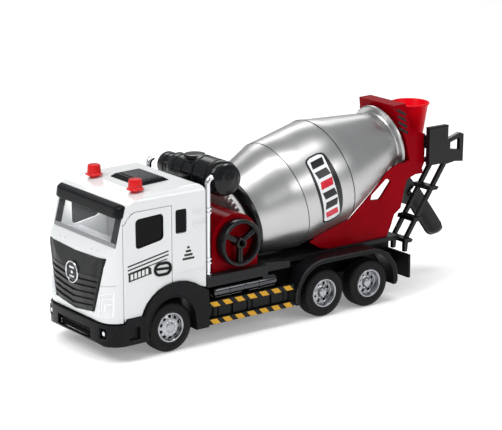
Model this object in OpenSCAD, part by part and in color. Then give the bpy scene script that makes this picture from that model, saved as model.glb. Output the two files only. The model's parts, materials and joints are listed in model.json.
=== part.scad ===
// Toy cement mixer truck: a cab with opening doors, a tandem rear bogie, and a
// tilted mixer drum that a hand wheel on the left side turns through a crown gear.
// +X is forward, +Y is the truck's left side, +Z is up. The origin is on the ground,
// under the middle of the truck. All lengths are in millimetres.

/* [Wheels] */
// Outer radius of every tyre
tyre_r = 17; // [16.5:0.1:17]
// Width of every tyre
tyre_w = 12; // [10:0.5:12]
// Radius of the rims
rim_r = 10; // [9:0.1:10.5]
// Radius of the steel axles
axle_r = 1.5; // [1.3:0.1:1.6]
// Distance of the front axle in front of the truck's middle
front_axle_x = 108.5; // [107.5:0.5:109]
// Distance of the first rear axle behind the middle
middle_axle_x = 19.2; // [18.5:0.1:20]
// Distance of the last rear axle behind the middle
rear_axle_x = 58.7; // [58:0.1:59.5]

/* [Cab] */
// Half of the cab's width
cab_half = 40; // [39.8:0.1:40]
// Position of the cab's back wall
cab_back = 81; // [80.5:0.1:81]
// Height of the roof
roof_z = 110; // [109.5:0.1:110]
// Thickness of the cab's walls
wall = 2; // [1.6:0.1:2.2]

/* [Drum] */
// Tilt of the drum's axis, in degrees
drum_tilt = 15.5; // [15:0.1:16]
// Radius of the drum's band at its front seam
band_front_r = 39.2; // [38:0.1:39.3]
// Radius of the drum's band at its rear seam
band_rear_r = 39.1; // [38:0.1:39.2]
// Radius of the drum's neck
neck_r = 22; // [21:0.1:22]
// Teeth on the crown gear
crown_teeth = 39; // [39:39:39]
// Teeth on the pinion
pinion_teeth = 28; // [28:28:28]

/* [Rear] */
// Radius of the hopper's rim
hopper_r = 14.2; // [13.8:0.1:14.4]
// Height of the hopper's rim
hopper_z = 131; // [130:0.1:131]
// Radius of the chute's half pipe
chute_r = 8.3; // [8:0.1:8.5]

/* [Hidden] */
$fn = 48;
eps = 0.01;
axle_xs = [front_axle_x, -middle_axle_x, -rear_axle_x];
axle_z = tyre_r;
tyre_out = 39.5;
fit = 0.05;

// The drum's frame: origin on its axis, +Z of the frame runs up and back along the axis.
drum_origin = [68.5, 0, 60.73];
pinion_r = 15.3;
pinion_tip_r = pinion_r + 0.85;
pinion_root_r = pinion_r - 1.3;
shaft_s = 16.56;
shaft_r = 2;
mesh_s = shaft_s + pinion_r;
crown_mean_r = 22.9;
crown_out_r = 24.7;
crown_in_r = 20.9;
crown_tip_s = mesh_s - 1;
crown_root_s = mesh_s + 1.2;
crown_back_s = crown_root_s + 2.6;
pinion_y = crown_mean_r - 1.5;
pinion_w = 3;
shaft_x = drum_origin[0] - shaft_s * cos(drum_tilt);
shaft_z = drum_origin[2] + shaft_s * sin(drum_tilt);
pin_r = 3;
wheel_face_y = 41.8;
wheel_back_y = 33.6;
spoke_w = 3.2;
hand_wheel_r = 16;
deck_z = 46;

// ---------------------------------------------------------------- helpers

// A box from its lowest to its highest corner.
module block(lo, hi) {
    translate(lo) cube(hi - lo);
}

// A profile in the XZ plane, extruded from y0 to y1.
module side_plate(points, y0, y1) {
    translate([0, y1, 0]) rotate([90, 0, 0]) linear_extrude(y1 - y0) polygon(points);
}

// A round bar along Y.
module bar_y(x, z, r, y0, y1) {
    translate([x, y0, z]) rotate([-90, 0, 0]) cylinder(r = r, h = y1 - y0);
}

// A round bar along X.
module bar_x(y, z, r, x0, x1) {
    translate([x0, y, z]) rotate([0, 90, 0]) cylinder(r = r, h = x1 - x0);
}

// Children, and their mirror image on the truck's right side.
module both_sides() {
    children();
    mirror([0, 1, 0]) children();
}

// Children drawn in the drum's frame.
module in_drum_frame() {
    translate(drum_origin) rotate([0, -90 + drum_tilt, 0]) children();
}

// Points on an arc about c, from angle a0 to a1, in n steps.
function arc(c, r, a0, a1, n) =
    [for (i = [0:n]) c + r * [cos(a0 + (a1 - a0) * i / n), sin(a0 + (a1 - a0) * i / n)]];

// ---------------------------------------------------------------- chassis

frame_half = 16;
frame_top = 40;
frame_bottom = 21;
frame_back = -95.5;
frame_front = 150;

// Bays that open downwards, for the three cells and the speaker.
bay_half = 13;
bay_top = 36;
battery_x = [20, 66];
speaker_x = [-48, -30];
// Hollow side boxes that carry the air tanks.
side_box_x = [-10, 76];
side_box_y = 26;
side_box_z = [22, 38];
side_box_wall = 4;
// Running gap between the drum and the parts around it.
drum_gap = 1.2;

screw_xs = [140, 90, 72, 8, -76];
screw_y = 14.2;
screw_head_r = 1.6;
screw_head_h = 1.3;
screw_shank_r = 0.8;
screw_recess = 2.6;
screw_len = 9;

module at_screws() {
    for (x = screw_xs) both_sides() translate([x, screw_y - (abs(x) > 70 ? 4 : 0), 0]) children();
}

// One bearing block under the frame for each axle.
module axle_block(x) {
    block([x - 5, -24, 12.5], [x + 5, 24, frame_bottom + 4]);
}

module chassis_frame() {
    color("#1c1d1f") difference() {
        union() {
            block([frame_back, -frame_half, frame_bottom], [frame_front, frame_half, frame_top]);
            for (x = axle_xs) axle_block(x);
            both_sides() block([side_box_x[0], frame_half - 1, side_box_z[0]],
                [side_box_x[1], side_box_y, side_box_z[1]]);
        }
        for (x = [battery_x, speaker_x]) block([x[0], -bay_half, 0], [x[1], bay_half, bay_top]);
        for (x = axle_xs) bar_y(x, axle_z, axle_r + fit, -30, 30);
        both_sides() block([side_box_x[0] + side_box_wall, 20, side_box_z[0] + 2.5],
            [side_box_x[1] - side_box_wall, side_box_y + 0.5, side_box_z[1] - 2]);
        drum_clearance(drum_gap);
        at_screws() {
            translate([0, 0, frame_bottom - 1]) cylinder(r = screw_head_r + 0.2, h = screw_recess + 1);
            translate([0, 0, frame_bottom]) cylinder(r = screw_shank_r, h = screw_recess + screw_len);
        }
    }
}

low_deck_z = 43;
low_deck_half = 27;
deck_back = -96;
deck_front = 80;
front_deck_x = 30;
front_deck_half = 40;
front_deck_bottom = 39;

module deck_cover() {
    color("#2b2d30") difference() {
        union() {
            block([deck_back, -low_deck_half, frame_top], [deck_front, low_deck_half, low_deck_z]);
            // Raised front deck that carries the gearbox.
            block([front_deck_x, -front_deck_half, front_deck_bottom], [deck_front, front_deck_half, deck_z]);
            // Wedge that runs down and in behind the front deck.
            both_sides() side_plate([[front_deck_x, front_deck_bottom], [front_deck_x, deck_z],
                [7, low_deck_z + 0.6], [7, front_deck_bottom]], 24, 34);
        }
        block([-200, -frame_half, 20], [200, frame_half, frame_top]);
        both_sides() block([33, 19, 36], [77, 37, 43]);
        drum_clearance(drum_gap);
        in_drum_frame() translate([0, 0, crown_tip_s - 2]) cylinder(r = crown_out_r + 1.5, h = 12);
    }
}

fender_xs = [-middle_axle_x + 1.5, -rear_axle_x + 1];
fender_z = 17.3;
fender_out_r = 24.8;
fender_in_r = 21.6;
fender_y = 41.5;
fender_in_y = 27.05;

module rear_fenders() {
    color("#17181a") both_sides() difference() {
        union() {
            for (x = fender_xs) bar_y(x, fender_z, fender_out_r, fender_in_y, fender_y);
            block([fender_xs[1], fender_in_y, 30], [fender_xs[0], fender_y, fender_z + fender_out_r]);
        }
        for (x = fender_xs) bar_y(x, fender_z, fender_in_r, 26, 45);
        block([fender_xs[1], 26, 10], [fender_xs[0], 45, fender_z + fender_in_r]);
        block([-100, 26, -10], [20, 45, 13]);
    }
}

module rear_beam() {
    color("#17181a") {
        block([-97.5, -38, 14], [-95.5, 38, 31]);
        both_sides() block([-95.5, 17, 20], [-88, 20, 29]);
    }
    color("#8e1116") both_sides() block([-98.2, 25, 19], [-97.5, 35, 26]);
}

// ---------------------------------------------------------------- bumper and front arches

arch_outer = [[79.5, 12], [79.5, 38], [86, 42], [95, 46.2], [107, 47],
    [118, 44.2], [127, 37], [131, 29], [131, 12]];
arch_inner = [[90.6, 11], [90.6, 24], [93, 32], [99, 37.4], [108, 39.2],
    [117, 37.4], [124, 32], [127, 24], [127, 11]];
flare_y = 42;

// Half of the bumper's outline from above.
bumper_plan = [[128, 0], [128, 42], [146, 41], [151, 39], [155, 35], [158, 27], [159, 12], [159.2, 0]];

module bumper_plate(inset) {
    both_sides() translate([-inset, 0, 0]) intersection() {
        linear_extrude(40) polygon([for (p = bumper_plan) [p[0], max(0, p[1] - inset)]]);
        block([-300, -1, -1], [300, 60, 60]);
    }
}

module front_bumper() {
    color("#1d1e20") difference() {
        union() {
            intersection() {
                bumper_plate(0);
                side_plate([[129, 12], [129, 29], [143, 29], [145, 26], [160, 26],
                    [160, 15], [156, 11.5], [140, 11.5]], -50, 50);
            }
            both_sides() side_plate(arch_outer, 26.6, flare_y);
            // Inner wall that closes each arch towards the frame.
            both_sides() block([84, frame_half, 26], [98, 27, 38]);
        }
        both_sides() side_plate(arch_inner, 20, 50);
        intersection() {
            bumper_plate(2.5);
            block([60, -39, 5], [157, 39, 23.4]);
        }
        block([127, -26.6, 5], [150, 26.6, 40]);
        block([80, -frame_half, 20], [152, frame_half, 41]);
        // Lower air intake, fog lamp recesses and side recesses.
        block([150, -20, 14.5], [170, 20, 21.5]);
        both_sides() block([155.3, 29, 16.6], [165, 35, 23.4]);
        both_sides() block([134, 39.5, 15], [142, 50, 23.4]);
        // Lower hinge sockets of the doors.
        both_sides() translate([hinge_x, hinge_y, hinge_pin_z - 0.4]) cylinder(r = hinge_pin_r + fit, h = 5);
        cab_body();
    }
}

// ---------------------------------------------------------------- cab

cab_side = concat([[cab_back, 40.2], [cab_back, roof_z - 5]],
    arc([cab_back + 5, roof_z - 5], 5, 180, 90, 6),
    [[125, 108.4], [138, 105.6], [142.5, 103.3], [149.2, 77], [151.5, 75], [155.8, 71],
    [158.3, 54], [157.6, 33], [156, 27], [145, 27], [143, 29], [131, 29],
    [127, 37], [118, 44.2], [107, 47], [95, 46.2], [86, 42]]);
cavity_side = [[cab_back + wall, 20], [cab_back + wall, 105], [86, roof_z - wall],
    [125, 106.3], [137.5, 103.5], [140.4, 102.2], [147.2, 76], [150, 73.6], [153.6, 69.6],
    [156.1, 54], [155.4, 34], [154, 20]];
cab_plan = [[60, 0], [60, cab_half], [143, cab_half], [149, 38.5], [153, 35.5], [155, 32],
    [157, 22], [158, 10], [158.3, 0]];

module cab_body() {
    intersection() {
        side_plate(cab_side, -cab_half, cab_half);
        both_sides() linear_extrude(120) polygon(cab_plan);
        rotate([90, 0, 90]) linear_extrude(170) polygon(concat(
            [[-cab_half, 0], [cab_half, 0]],
            arc([cab_half - 6, roof_z - 6], 6, 0, 90, 6),
            arc([6 - cab_half, roof_z - 6], 6, 90, 180, 6)));
    }
}

module cab_cavity() {
    intersection() {
        side_plate(cavity_side, wall - cab_half, cab_half - wall);
        both_sides() translate([-wall, 0, 0]) linear_extrude(120)
            polygon([for (p = cab_plan) [p[0], min(p[1], cab_half - wall)]]);
        rotate([90, 0, 90]) linear_extrude(170) polygon(concat(
            [[wall - cab_half, 0], [cab_half - wall, 0]],
            arc([cab_half - 6, roof_z - 6], 4, 0, 90, 6),
            arc([6 - cab_half, roof_z - 6], 4, 90, 180, 6)));
    }
}

hinge_x = 143.4;
hinge_y = 38.6;
hinge_r = 1.4;
hinge_pin_r = 0.8;
hinge_pin_z = 27.4;
hinge_pin_len = 68.4;
hinge_knuckle_top = 92;
door_gap = 0.35;
door_inner_y = 37.2;
door_top = 99.3;
door_back = 107.7;
door_bottom = 29.4;
door_outline = [[door_back, 47.3], [118.2, 44.6], [127.4, 37.3], [131.3, door_bottom],
    [hinge_x, door_bottom], [hinge_x, hinge_knuckle_top], [138, door_top - 1.4], [135.5, door_top],
    [door_back, door_top]];
opening_outline = [[door_back - door_gap, 40], [118, 40], [131, 25], [hinge_x + 1.8, 25],
    [hinge_x + 1.8, 92.2], [139, 98.6], [136, door_top + door_gap],
    [door_back - door_gap, door_top + door_gap]];
// Centre and half sizes of the oval pull handle.
handle_x = 115;
handle_z = 58.3;
handle_half = [6.8, 4.6];
handle_rim = 1.7;
glass_outline = [[114.1, 78.2], [135.2, 74.3], [135.7, 94.1], [114.1, 95.2]];
side_glass_lo = [96, 0, 79.7];
side_glass_hi = [104.8, 0, 96];

windscreen_profile = [[149.5, 77.1], [143.6, 100.3], [142.1, 99.9], [148, 76.7]];
badge_z = 54.6;
beacon_x = 125.3;
beacon_y = 24.7;
beacon_stem_r = 3;

// Outline of the grille, seen from the front.
grille_outline = [[-34.5, 70.4], [-23.5, 33], [0, 29.6], [23.5, 33], [34.5, 70.4], [0, 69]];

module front_prism(points) {
    translate([130, 0, 0]) rotate([90, 0, 90]) linear_extrude(60) polygon(points);
}

module hinge_lug(z0, z1) {
    block([hinge_x - 1.6, hinge_y - 2, z0], [hinge_x + 1.8, hinge_y + 1, z1]);
}

module cab_shell() {
    color("#f2f4f5") difference() {
        union() {
            difference() {
                cab_body();
                cab_cavity();
                both_sides() side_plate(opening_outline, 36, 45);
            }
            // Hinge lug above each door.
            both_sides() intersection() {
                hinge_lug(94.4, 97.4);
                cab_body();
            }
            // Beacon guides that hang below the roof.
            both_sides() translate([beacon_x, beacon_y, 103]) cylinder(r = 4.6, h = 4.5);
        }
        both_sides() translate([hinge_x, hinge_y, 91]) cylinder(r = hinge_pin_r + fit, h = 5.1);
        both_sides() translate([beacon_x, beacon_y, 100]) cylinder(r = beacon_stem_r + fit, h = 20);
        both_sides() block([side_glass_lo[0], 35, side_glass_lo[2]],
            [side_glass_hi[0], 45, side_glass_hi[2]]);
        side_plate(windscreen_profile, -37.5, 37.5);
        block([135, -34.5, 79], [153, 34.5, 98.2]);
    }
}

// An oval with rounded ends, drawn in by the given inset.
function handle_outline(inset) = concat(
    arc([handle_x + handle_half[0] - handle_half[1], handle_z], handle_half[1] - inset, -90, 90, 12),
    arc([handle_x - handle_half[0] + handle_half[1], handle_z], handle_half[1] - inset, 90, 270, 12));

module door_panel() {
    difference() {
        union() {
            side_plate(door_outline, door_inner_y, cab_half);
            translate([hinge_x, hinge_y, door_bottom])
                cylinder(r = hinge_r, h = hinge_knuckle_top - door_bottom);
            translate([hinge_x, hinge_y, hinge_pin_z]) cylinder(r = hinge_pin_r, h = hinge_pin_len);
            side_plate(handle_outline(0), cab_half - 1, cab_half + 0.8);
        }
        side_plate(glass_outline, 30, 50);
        side_plate(handle_outline(handle_rim), cab_half + 0.3, cab_half + 5);
        // Behind the hinge the panel ends on the hinge's own round edge.
        difference() {
            block([hinge_x, 30, 20], [hinge_x + 5, 50, 120]);
            translate([hinge_x, hinge_y, 20]) cylinder(r = hinge_r, h = 100);
        }
    }
}

module door_glass() {
    side_plate(glass_outline, door_inner_y + 0.4, door_inner_y + 1.6);
}

module door_left() { color("#f2f4f5") door_panel(); }
module door_right() { color("#f2f4f5") mirror([0, 1, 0]) door_panel(); }
module door_glass_left() { color("#15181b") door_glass(); }
module door_glass_right() { color("#15181b") mirror([0, 1, 0]) door_glass(); }

module cab_interior() {
    color("#6d7175") {
        // Floor, dashboard with a sloping top, and two seats with head rests.
        block([84, -35, 50], [146, 35, 52]);
        side_plate([[130, 52], [146, 52], [146, 72], [142, 75.5], [134, 76], [131, 70]], -33, 33);
        both_sides() {
            side_plate([[92, 52], [114, 52], [115, 60], [98, 61], [95, 84], [90, 84]], 7, 25);
            side_plate([[90.4, 84], [94.6, 84], [94, 91], [91, 91]], 11, 21);
        }
    }
}

module windscreen() {
    color("#5a6168") side_plate(windscreen_profile, -37.4, 37.4);
}

module sun_visor() {
    color("#1b1c1e") difference() {
        side_plate([[141.8, 103.6], [143, 104.8], [147.6, 102.6], [148.6, 96.2], [146.4, 95.2],
            [145.1, 96], [143.4, 100.5]], -39, 39);
        cab_body();
        windscreen();
    }
}

module grille() {
    color("#222426") difference() {
        intersection() {
            translate([0.9, 0, 0]) cab_body();
            front_prism(grille_outline);
        }
        cab_body();
        for (i = [0:5]) block([158, -20, 36 + 3.6 * i], [165, -9, 37.2 + 3.6 * i]);
        for (i = [0:5]) block([158, 9, 36 + 3.6 * i], [165, 20, 37.2 + 3.6 * i]);
    }
}

module grille_badge() {
    color("silver") difference() {
        translate([150, 0, badge_z]) rotate([0, 90, 0]) difference() {
            cylinder(r = 7.5, h = 9.5);
            translate([0, 0, 8.9]) cylinder(r = 6.2, h = 5);
        }
        translate([0.9, 0, 0]) cab_body();
        cab_body();
    }
}

module side_windows() {
    color("#15181b") both_sides() block([side_glass_lo[0], cab_half - 1.6, side_glass_lo[2]],
        [side_glass_hi[0], cab_half - 0.2, side_glass_hi[2]]);
}

module lamp_lenses() {
    color("#eef1f4") both_sides() {
        difference() {
            intersection() {
                translate([0.6, 0, 0]) cab_body();
                front_prism([[27.5, 32], [36.5, 32], [36.5, 47], [30.5, 47]]);
            }
            cab_body();
        }
        bar_x(32, 20, 2.2, 155.3, 156.8);
    }
}

hatch_half = 17;

module roof_hatch() {
    color("#1b1c1e") difference() {
        intersection() {
            side_plate([[93.5, 105], [93.5, 109.6], [96.5, 111.6], [114.5, 111], [117.5, 108.8],
                [117.5, 105]], -hatch_half, hatch_half);
            rotate([90, 0, 90]) linear_extrude(170) polygon([[-hatch_half, 100], [-hatch_half, 109.4],
                [3 - hatch_half, 112], [hatch_half - 3, 112], [hatch_half, 109.4], [hatch_half, 100]]);
        }
        cab_body();
    }
}

// ---------------------------------------------------------------- beacons and electronics

beacon_low_z = 109.6;
board_top = 98.2;
spring_len = 3.8;

module beacon() {
    rotate_extrude() polygon([[0, 102], [beacon_stem_r, 102], [beacon_stem_r, beacon_low_z - 0.2],
        [5.7, beacon_low_z], [5.7, beacon_low_z + 0.8], [4.6, beacon_low_z + 1.2], [4.4, 116],
        [3.8, 116.6], [0, 116.6]]);
}

module beacon_spring() {
    // A closely fitting stand-in for a coil spring, kept as a simple sleeve.
    difference() {
        cylinder(r = 2.6, h = spring_len);
        translate([0, 0, -1]) cylinder(r = 1.8, h = spring_len + 2);
    }
}

module beacon_left() { color("#e3231b") translate([beacon_x, beacon_y, 0]) beacon(); }
module beacon_right() { color("#e3231b") translate([beacon_x, -beacon_y, 0]) beacon(); }
module spring_left() { color("silver") translate([beacon_x, beacon_y, board_top]) beacon_spring(); }
module spring_right() { color("silver") translate([beacon_x, -beacon_y, board_top]) beacon_spring(); }

module circuit_board() {
    color("#2f6b3a") {
        block([112, -30, board_top - 1.8], [134, 30, board_top]);
        // Posts that hang the board from the roof.
        both_sides() block([114, 12, board_top], [117, 15, 106.4]);
    }
}

module speaker() {
    color("#8b8f94") translate([(speaker_x[0] + speaker_x[1]) / 2, 0, 24.5]) {
        cylinder(r = 8.5, h = 5);
        translate([0, 0, 5]) cylinder(r = 5, h = 4);
    }
}

cell_r = 5.8;
cell_h = 5.4;
cell_pitch = 13.2;
cover_gap = 0.2;

module battery_cells() {
    color("#c9ccd0") for (i = [0:2]) translate([battery_x[0] + 10 + cell_pitch * i, 0, 27])
        cylinder(r = cell_r, h = cell_h);
}

module battery_cover() {
    color("#1d1e20") block([battery_x[0] + cover_gap, cover_gap - bay_half, frame_bottom],
        [battery_x[1] - cover_gap, bay_half - cover_gap, frame_bottom + 2]);
}

// ---------------------------------------------------------------- behind the cab

air_x = 59.5;
air_z = 108;
air_r = 12;
air_end_y = 32;

module air_cleaner() {
    color("#151618") {
        bar_y(air_x, air_z, air_r, 6, air_end_y);
        // Domed end cap.
        translate([air_x, air_end_y, air_z]) rotate([-90, 0, 0]) rotate_extrude()
            polygon([[0, 0], [air_r, 0], [air_r - 1.6, 3.6], [7, 5.2], [0, 6]]);
        bar_y(air_x, air_z - 1.6, 9.6, -24, 6);
        bar_y(air_x, air_z - 2.4, 8.6, -38, -24);
        // Oval rain cap on top.
        translate([air_x, -3, 110]) cylinder(r = 7.5, h = 9);
        // Mounting column on the deck.
        block([72, -9, deck_z], [79.5, 9, air_z]);
        block([62, -9, 96], [76, 9, 106]);
    }
}

stack_x = 75.5;
stack_y = 34.5;
stack_r = 1.9;
stack_len = 62;
stack_bend_r = 4;
clamp_zs = [56, 90];

module exhaust_stacks() {
    color("#c8cbce") both_sides() {
        translate([stack_x, stack_y, deck_z]) cylinder(r = stack_r, h = stack_len);
        translate([stack_x - stack_bend_r, stack_y, deck_z + stack_len]) rotate([90, 0, 0])
            rotate_extrude(angle = 75) translate([stack_bend_r, 0]) circle(r = stack_r);
        for (z = clamp_zs) {
            translate([stack_x, stack_y, z - 1.2]) cylinder(r = stack_r + 0.9, h = 2.4);
            block([stack_x, stack_y - 1, z - 0.9], [cab_back, stack_y + 1, z + 0.9]);
        }
    }
}

tank_y = 34;
tank_z = 33.4;
tank_r = 4.2;
tank_x = [20, 73];
tank_band_xs = [34, 58];

module air_tanks() {
    color("#8d9196") both_sides() {
        bar_x(tank_y, tank_z, tank_r, tank_x[0], tank_x[1]);
        for (x = tank_band_xs) bar_x(tank_y, tank_z, tank_r + 0.3, x, x + 2);
        bar_y((tank_x[0] + tank_x[1]) / 2 + 0.5, tank_z, 1.4, tank_y + 2, tank_y + 4.6);
        // Feet on the chassis box.
        for (x = [30, 60]) block([x, side_box_y, tank_z - 1.4], [x + 3, tank_y - 3, tank_z + 1.6]);
    }
}

guard_x = [8, 78];
guard_y = 40;
guard_zs = [12.7, 24.7];
guard_h = 4;
guard_t = 2.6;
guard_post_xs = [12, 42, 70];
guard_post_w = 3;

module side_guards() {
    color("#d9a020") both_sides() {
        for (z = guard_zs) block([guard_x[0], guard_y - guard_t, z], [guard_x[1], guard_y, z + guard_h]);
        for (x = guard_post_xs) {
            block([x, guard_y - guard_t - 2, guard_zs[0]],
                [x + guard_post_w, guard_y - guard_t, guard_zs[1] + guard_h]);
            block([x, side_box_y, guard_zs[1] - 0.1],
                [x + guard_post_w, guard_y - guard_t - 2, guard_zs[1] + 3.7]);
        }
    }
}

// ---------------------------------------------------------------- gearbox, crank and drum drive

housing_r = 18.7;
housing_y = 33;
housing_wall = 2.1;
cheek_w = 2.5;
bearing_s = 22;

module housing_profile(inset) {
    translate([shaft_x, shaft_z]) circle(r = housing_r - inset);
    translate([shaft_x - housing_r + inset, deck_z]) square([2 * (housing_r - inset), shaft_z - deck_z]);
}

module gearbox_housing() {
    color("#b3121d") difference() {
        union() {
            both_sides() translate([0, housing_y, 0]) rotate([90, 0, 0])
                linear_extrude(cheek_w) housing_profile(0);
            // Skin between the cheeks, open towards the crown gear.
            difference() {
                translate([0, housing_y - 1, 0]) rotate([90, 0, 0]) linear_extrude(2 * housing_y - 2)
                    difference() {
                        housing_profile(0);
                        translate([0, -eps]) housing_profile(housing_wall);
                    }
                in_drum_frame() translate([-60, -40, crown_tip_s - 2]) cube([120, 80, 40]);
            }
            // Bearing wall for the drum's front pin.
            intersection() {
                in_drum_frame() translate([-30, -31, bearing_s]) cube([42, 46, 4]);
                block([30, -31, deck_z], [80, 31, 78]);
            }
            // Rib that carries the inner end of the crank shaft.
            block([47, 13.5, deck_z], [58, 16.5, 71]);
        }
        in_drum_frame() translate([0, 0, bearing_s - 5]) cylinder(r = pin_r + fit, h = 14);
        bar_y(shaft_x, shaft_z, shaft_r + fit, 0, 60);
    }
}

module pinion() {
    step = 360 / pinion_teeth;
    root_half = 3.2;
    tip_half = 1.45;
    color("#e9e9e6") translate([shaft_x, pinion_y + pinion_w, shaft_z]) rotate([90, 0, 0])
        rotate([0, 0, 180 - drum_tilt]) linear_extrude(pinion_w) difference() {
            polygon([for (i = [0:pinion_teeth - 1]) for (k = [[-root_half, pinion_root_r],
                [-tip_half, pinion_tip_r], [tip_half, pinion_tip_r], [root_half, pinion_root_r]])
                k[1] * [cos(step * (i + 0.5) + k[0]), sin(step * (i + 0.5) + k[0])]]);
            circle(r = shaft_r);
        }
}

module crank_shaft() {
    color("#b9bcc0") bar_y(shaft_x, shaft_z, shaft_r, 13.9, 40);
}

module hand_wheel() {
    color("#17181a") translate([shaft_x, 0, shaft_z]) rotate([-90, 0, 0]) difference() {
        union() {
            difference() {
                translate([0, 0, wheel_back_y]) cylinder(r = hand_wheel_r, h = wheel_face_y - wheel_back_y);
                translate([0, 0, wheel_back_y - 1]) cylinder(r = hand_wheel_r - 3.2, h = 12);
            }
            translate([0, 0, wheel_back_y]) cylinder(r = 3.4, h = wheel_face_y + 0.2 - wheel_back_y);
            for (a = [150, 30, 270]) rotate([0, 0, -a]) translate([2, -spoke_w / 2, 36.5])
                cube([hand_wheel_r - 4, spoke_w, 3.6]);
        }
        translate([0, 0, 30]) cylinder(r = shaft_r, h = 10);
    }
}

crown_tooth_base = 1.5;
crown_tooth_tip = 0.8;

module crown_tooth() {
    polygon([[-crown_tooth_base / 2, 0.1], [crown_tooth_base / 2, 0.1], [crown_tooth_base / 2, 0],
        [crown_tooth_tip / 2, crown_tip_s - crown_root_s], [-crown_tooth_tip / 2, crown_tip_s - crown_root_s],
        [-crown_tooth_base / 2, 0]]);
}

module crown_gear() {
    color("#f1f1ee") in_drum_frame() {
        translate([0, 0, crown_root_s]) difference() {
            cylinder(r = crown_out_r, h = crown_back_s - crown_root_s);
            translate([0, 0, -1]) cylinder(r = 8, h = 10);
            translate([0, 0, -1]) cylinder(r = crown_in_r, h = 1.8);
        }
        for (i = [0:crown_teeth - 1]) rotate([0, 0, 90 + 360 / crown_teeth * i])
            translate([crown_in_r, 0, crown_root_s]) rotate([90, 0, 90])
                linear_extrude(crown_out_r - crown_in_r - 0.1) crown_tooth();
    }
}

// ---------------------------------------------------------------- drum

skin = 1.6;
cup_s = 41.3;
seam1_s = 75;
seam2_s = 116.2;
neck_s = 172.5;
rim_s = 174.6;
cup_r = 30.4;
rim_flange_r = 26.2;
front_profile = [[cup_r, cup_s], [35.3, 58], [band_front_r, seam1_s]];
band_profile = [[band_front_r, seam1_s], [band_rear_r, seam2_s]];
rear_profile = [[band_rear_r, seam2_s], [28.3, 150], [neck_r + 0.4, 170], [neck_r, neck_s - 1]];

function thinner(points) = [for (i = [len(points) - 1:-1:0]) points[i] - [skin, 0]];

module drum_shell(points) {
    in_drum_frame() rotate_extrude($fn = 72) polygon(concat(points, thinner(points)));
}

module drum_cup() {
    color("#1a1b1d") in_drum_frame() {
        rotate_extrude($fn = 72) polygon([[0, crown_back_s], [26.4, crown_back_s], [cup_r - 1, 37.6],
            [cup_r, 39], [cup_r, cup_s], [0, cup_s]]);
        translate([0, 0, crown_root_s]) cylinder(r = 8, h = 4);
        translate([0, 0, bearing_s - 2]) cylinder(r = pin_r, h = 14);
    }
}

module drum_front_cone() { color("#b9bcc0") drum_shell(front_profile); }
module drum_band() { color("#c3c6c9") drum_shell(band_profile); }

module drum_rear_cone() {
    color("#b9bcc0") {
        drum_shell(rear_profile);
        in_drum_frame() rotate_extrude($fn = 72) polygon([[neck_r - skin, neck_s - 1], [neck_r, neck_s - 1],
            [neck_r + 1, neck_s + 0.3], [rim_flange_r, neck_s + 0.7], [rim_flange_r, rim_s],
            [neck_r - skin, rim_s]]);
    }
}

// The space the turning drum needs, with a gap all round.
module drum_clearance(gap) {
    in_drum_frame() rotate_extrude($fn = 72) polygon(concat([[0, crown_back_s - 1]],
        [for (p = concat([[27, crown_back_s - 1], [cup_r, 39]], front_profile, band_profile, rear_profile,
            [[neck_r, neck_s - 2], [rim_flange_r, neck_s - 1], [rim_flange_r, rim_s + 1]])) p + [gap, 0]],
        [[0, rim_s + 1]]));
}

// ---------------------------------------------------------------- rear end

arch_s = 178;
mouth_r = 18.4;
spigot_r = 20.05;
support_side = [[-95.5, 135.3], [-106, 135.6], [-108.3, 117.3], [-120.5, 113], [-120, 92],
    [-117, 86], [-104.2, 82], [-101.8, 75], [-98.9, 62], [-93, 58], [-89.4, 48.5], [-86, low_deck_z],
    [-34, low_deck_z], [-25, 45.5], [-17, 50.5], [-51.8, 64], [-70, 80.5], [-85, 90.5], [-97.3, 94],
    [-106.4, 95.5]];
support_window = [[-84.8, 85], [-88, 84.6], [-89.8, 82.5], [-80.7, 71.9], [-79.3, 71], [-70.8, 71.6],
    [-72.2, 75.6]];
support_outer = [[-19, 137], [19, 137], [24.5, 112], [24.5, 40], [-24.5, 40], [-24.5, 112]];
support_inner = [[-17, 133], [17, 133], [22, 111], [22, 39], [-22, 39], [-22, 111]];
chute_x = -114.5;
chute_pin_r = 2;
// Underside of the bracket that the chute's arm turns against.
bracket_z = 84;

module yz_prism(points) {
    translate([-200, 0, 0]) rotate([90, 0, 90]) linear_extrude(400) polygon(points);
}

module rear_support() {
    color("#c3121f") difference() {
        union() {
            difference() {
                intersection() {
                    side_plate(support_side, -30, 30);
                    yz_prism(support_outer);
                }
                yz_prism(support_inner);
                side_plate(support_window, -30, 30);
            }
            // Arch wall around the drum's mouth, and the spigot that the neck turns on.
            intersection() {
                in_drum_frame() translate([-19, -40, arch_s]) cube([50, 80, 2.4]);
                yz_prism(support_outer);
                block([-130, -30, 40], [-80, 30, 135.3]);
            }
            in_drum_frame() translate([0, 0, arch_s - 8]) cylinder(r = spigot_r, h = 9);
            // Cross bracket that carries the chute's pivot.
            block([-120, -23, bracket_z], [-108.6, 23, bracket_z + 3]);
            // Feet on the deck.
            both_sides() block([-88, 16, low_deck_z], [-30, 23, low_deck_z + 2.5]);
        }
        in_drum_frame() translate([0, 0, arch_s - 20]) cylinder(r = mouth_r, h = 40);
        translate([chute_x, 0, 70]) cylinder(r = chute_pin_r + fit, h = 30);
        difference() {
            drum_clearance(drum_gap);
            in_drum_frame() cylinder(r = neck_r, h = 300);
        }
    }
}

hopper_x = -126.5;
hopper_bottom = 106;
hopper_foot_r = 9.6;
spout_tilt = 14;

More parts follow.
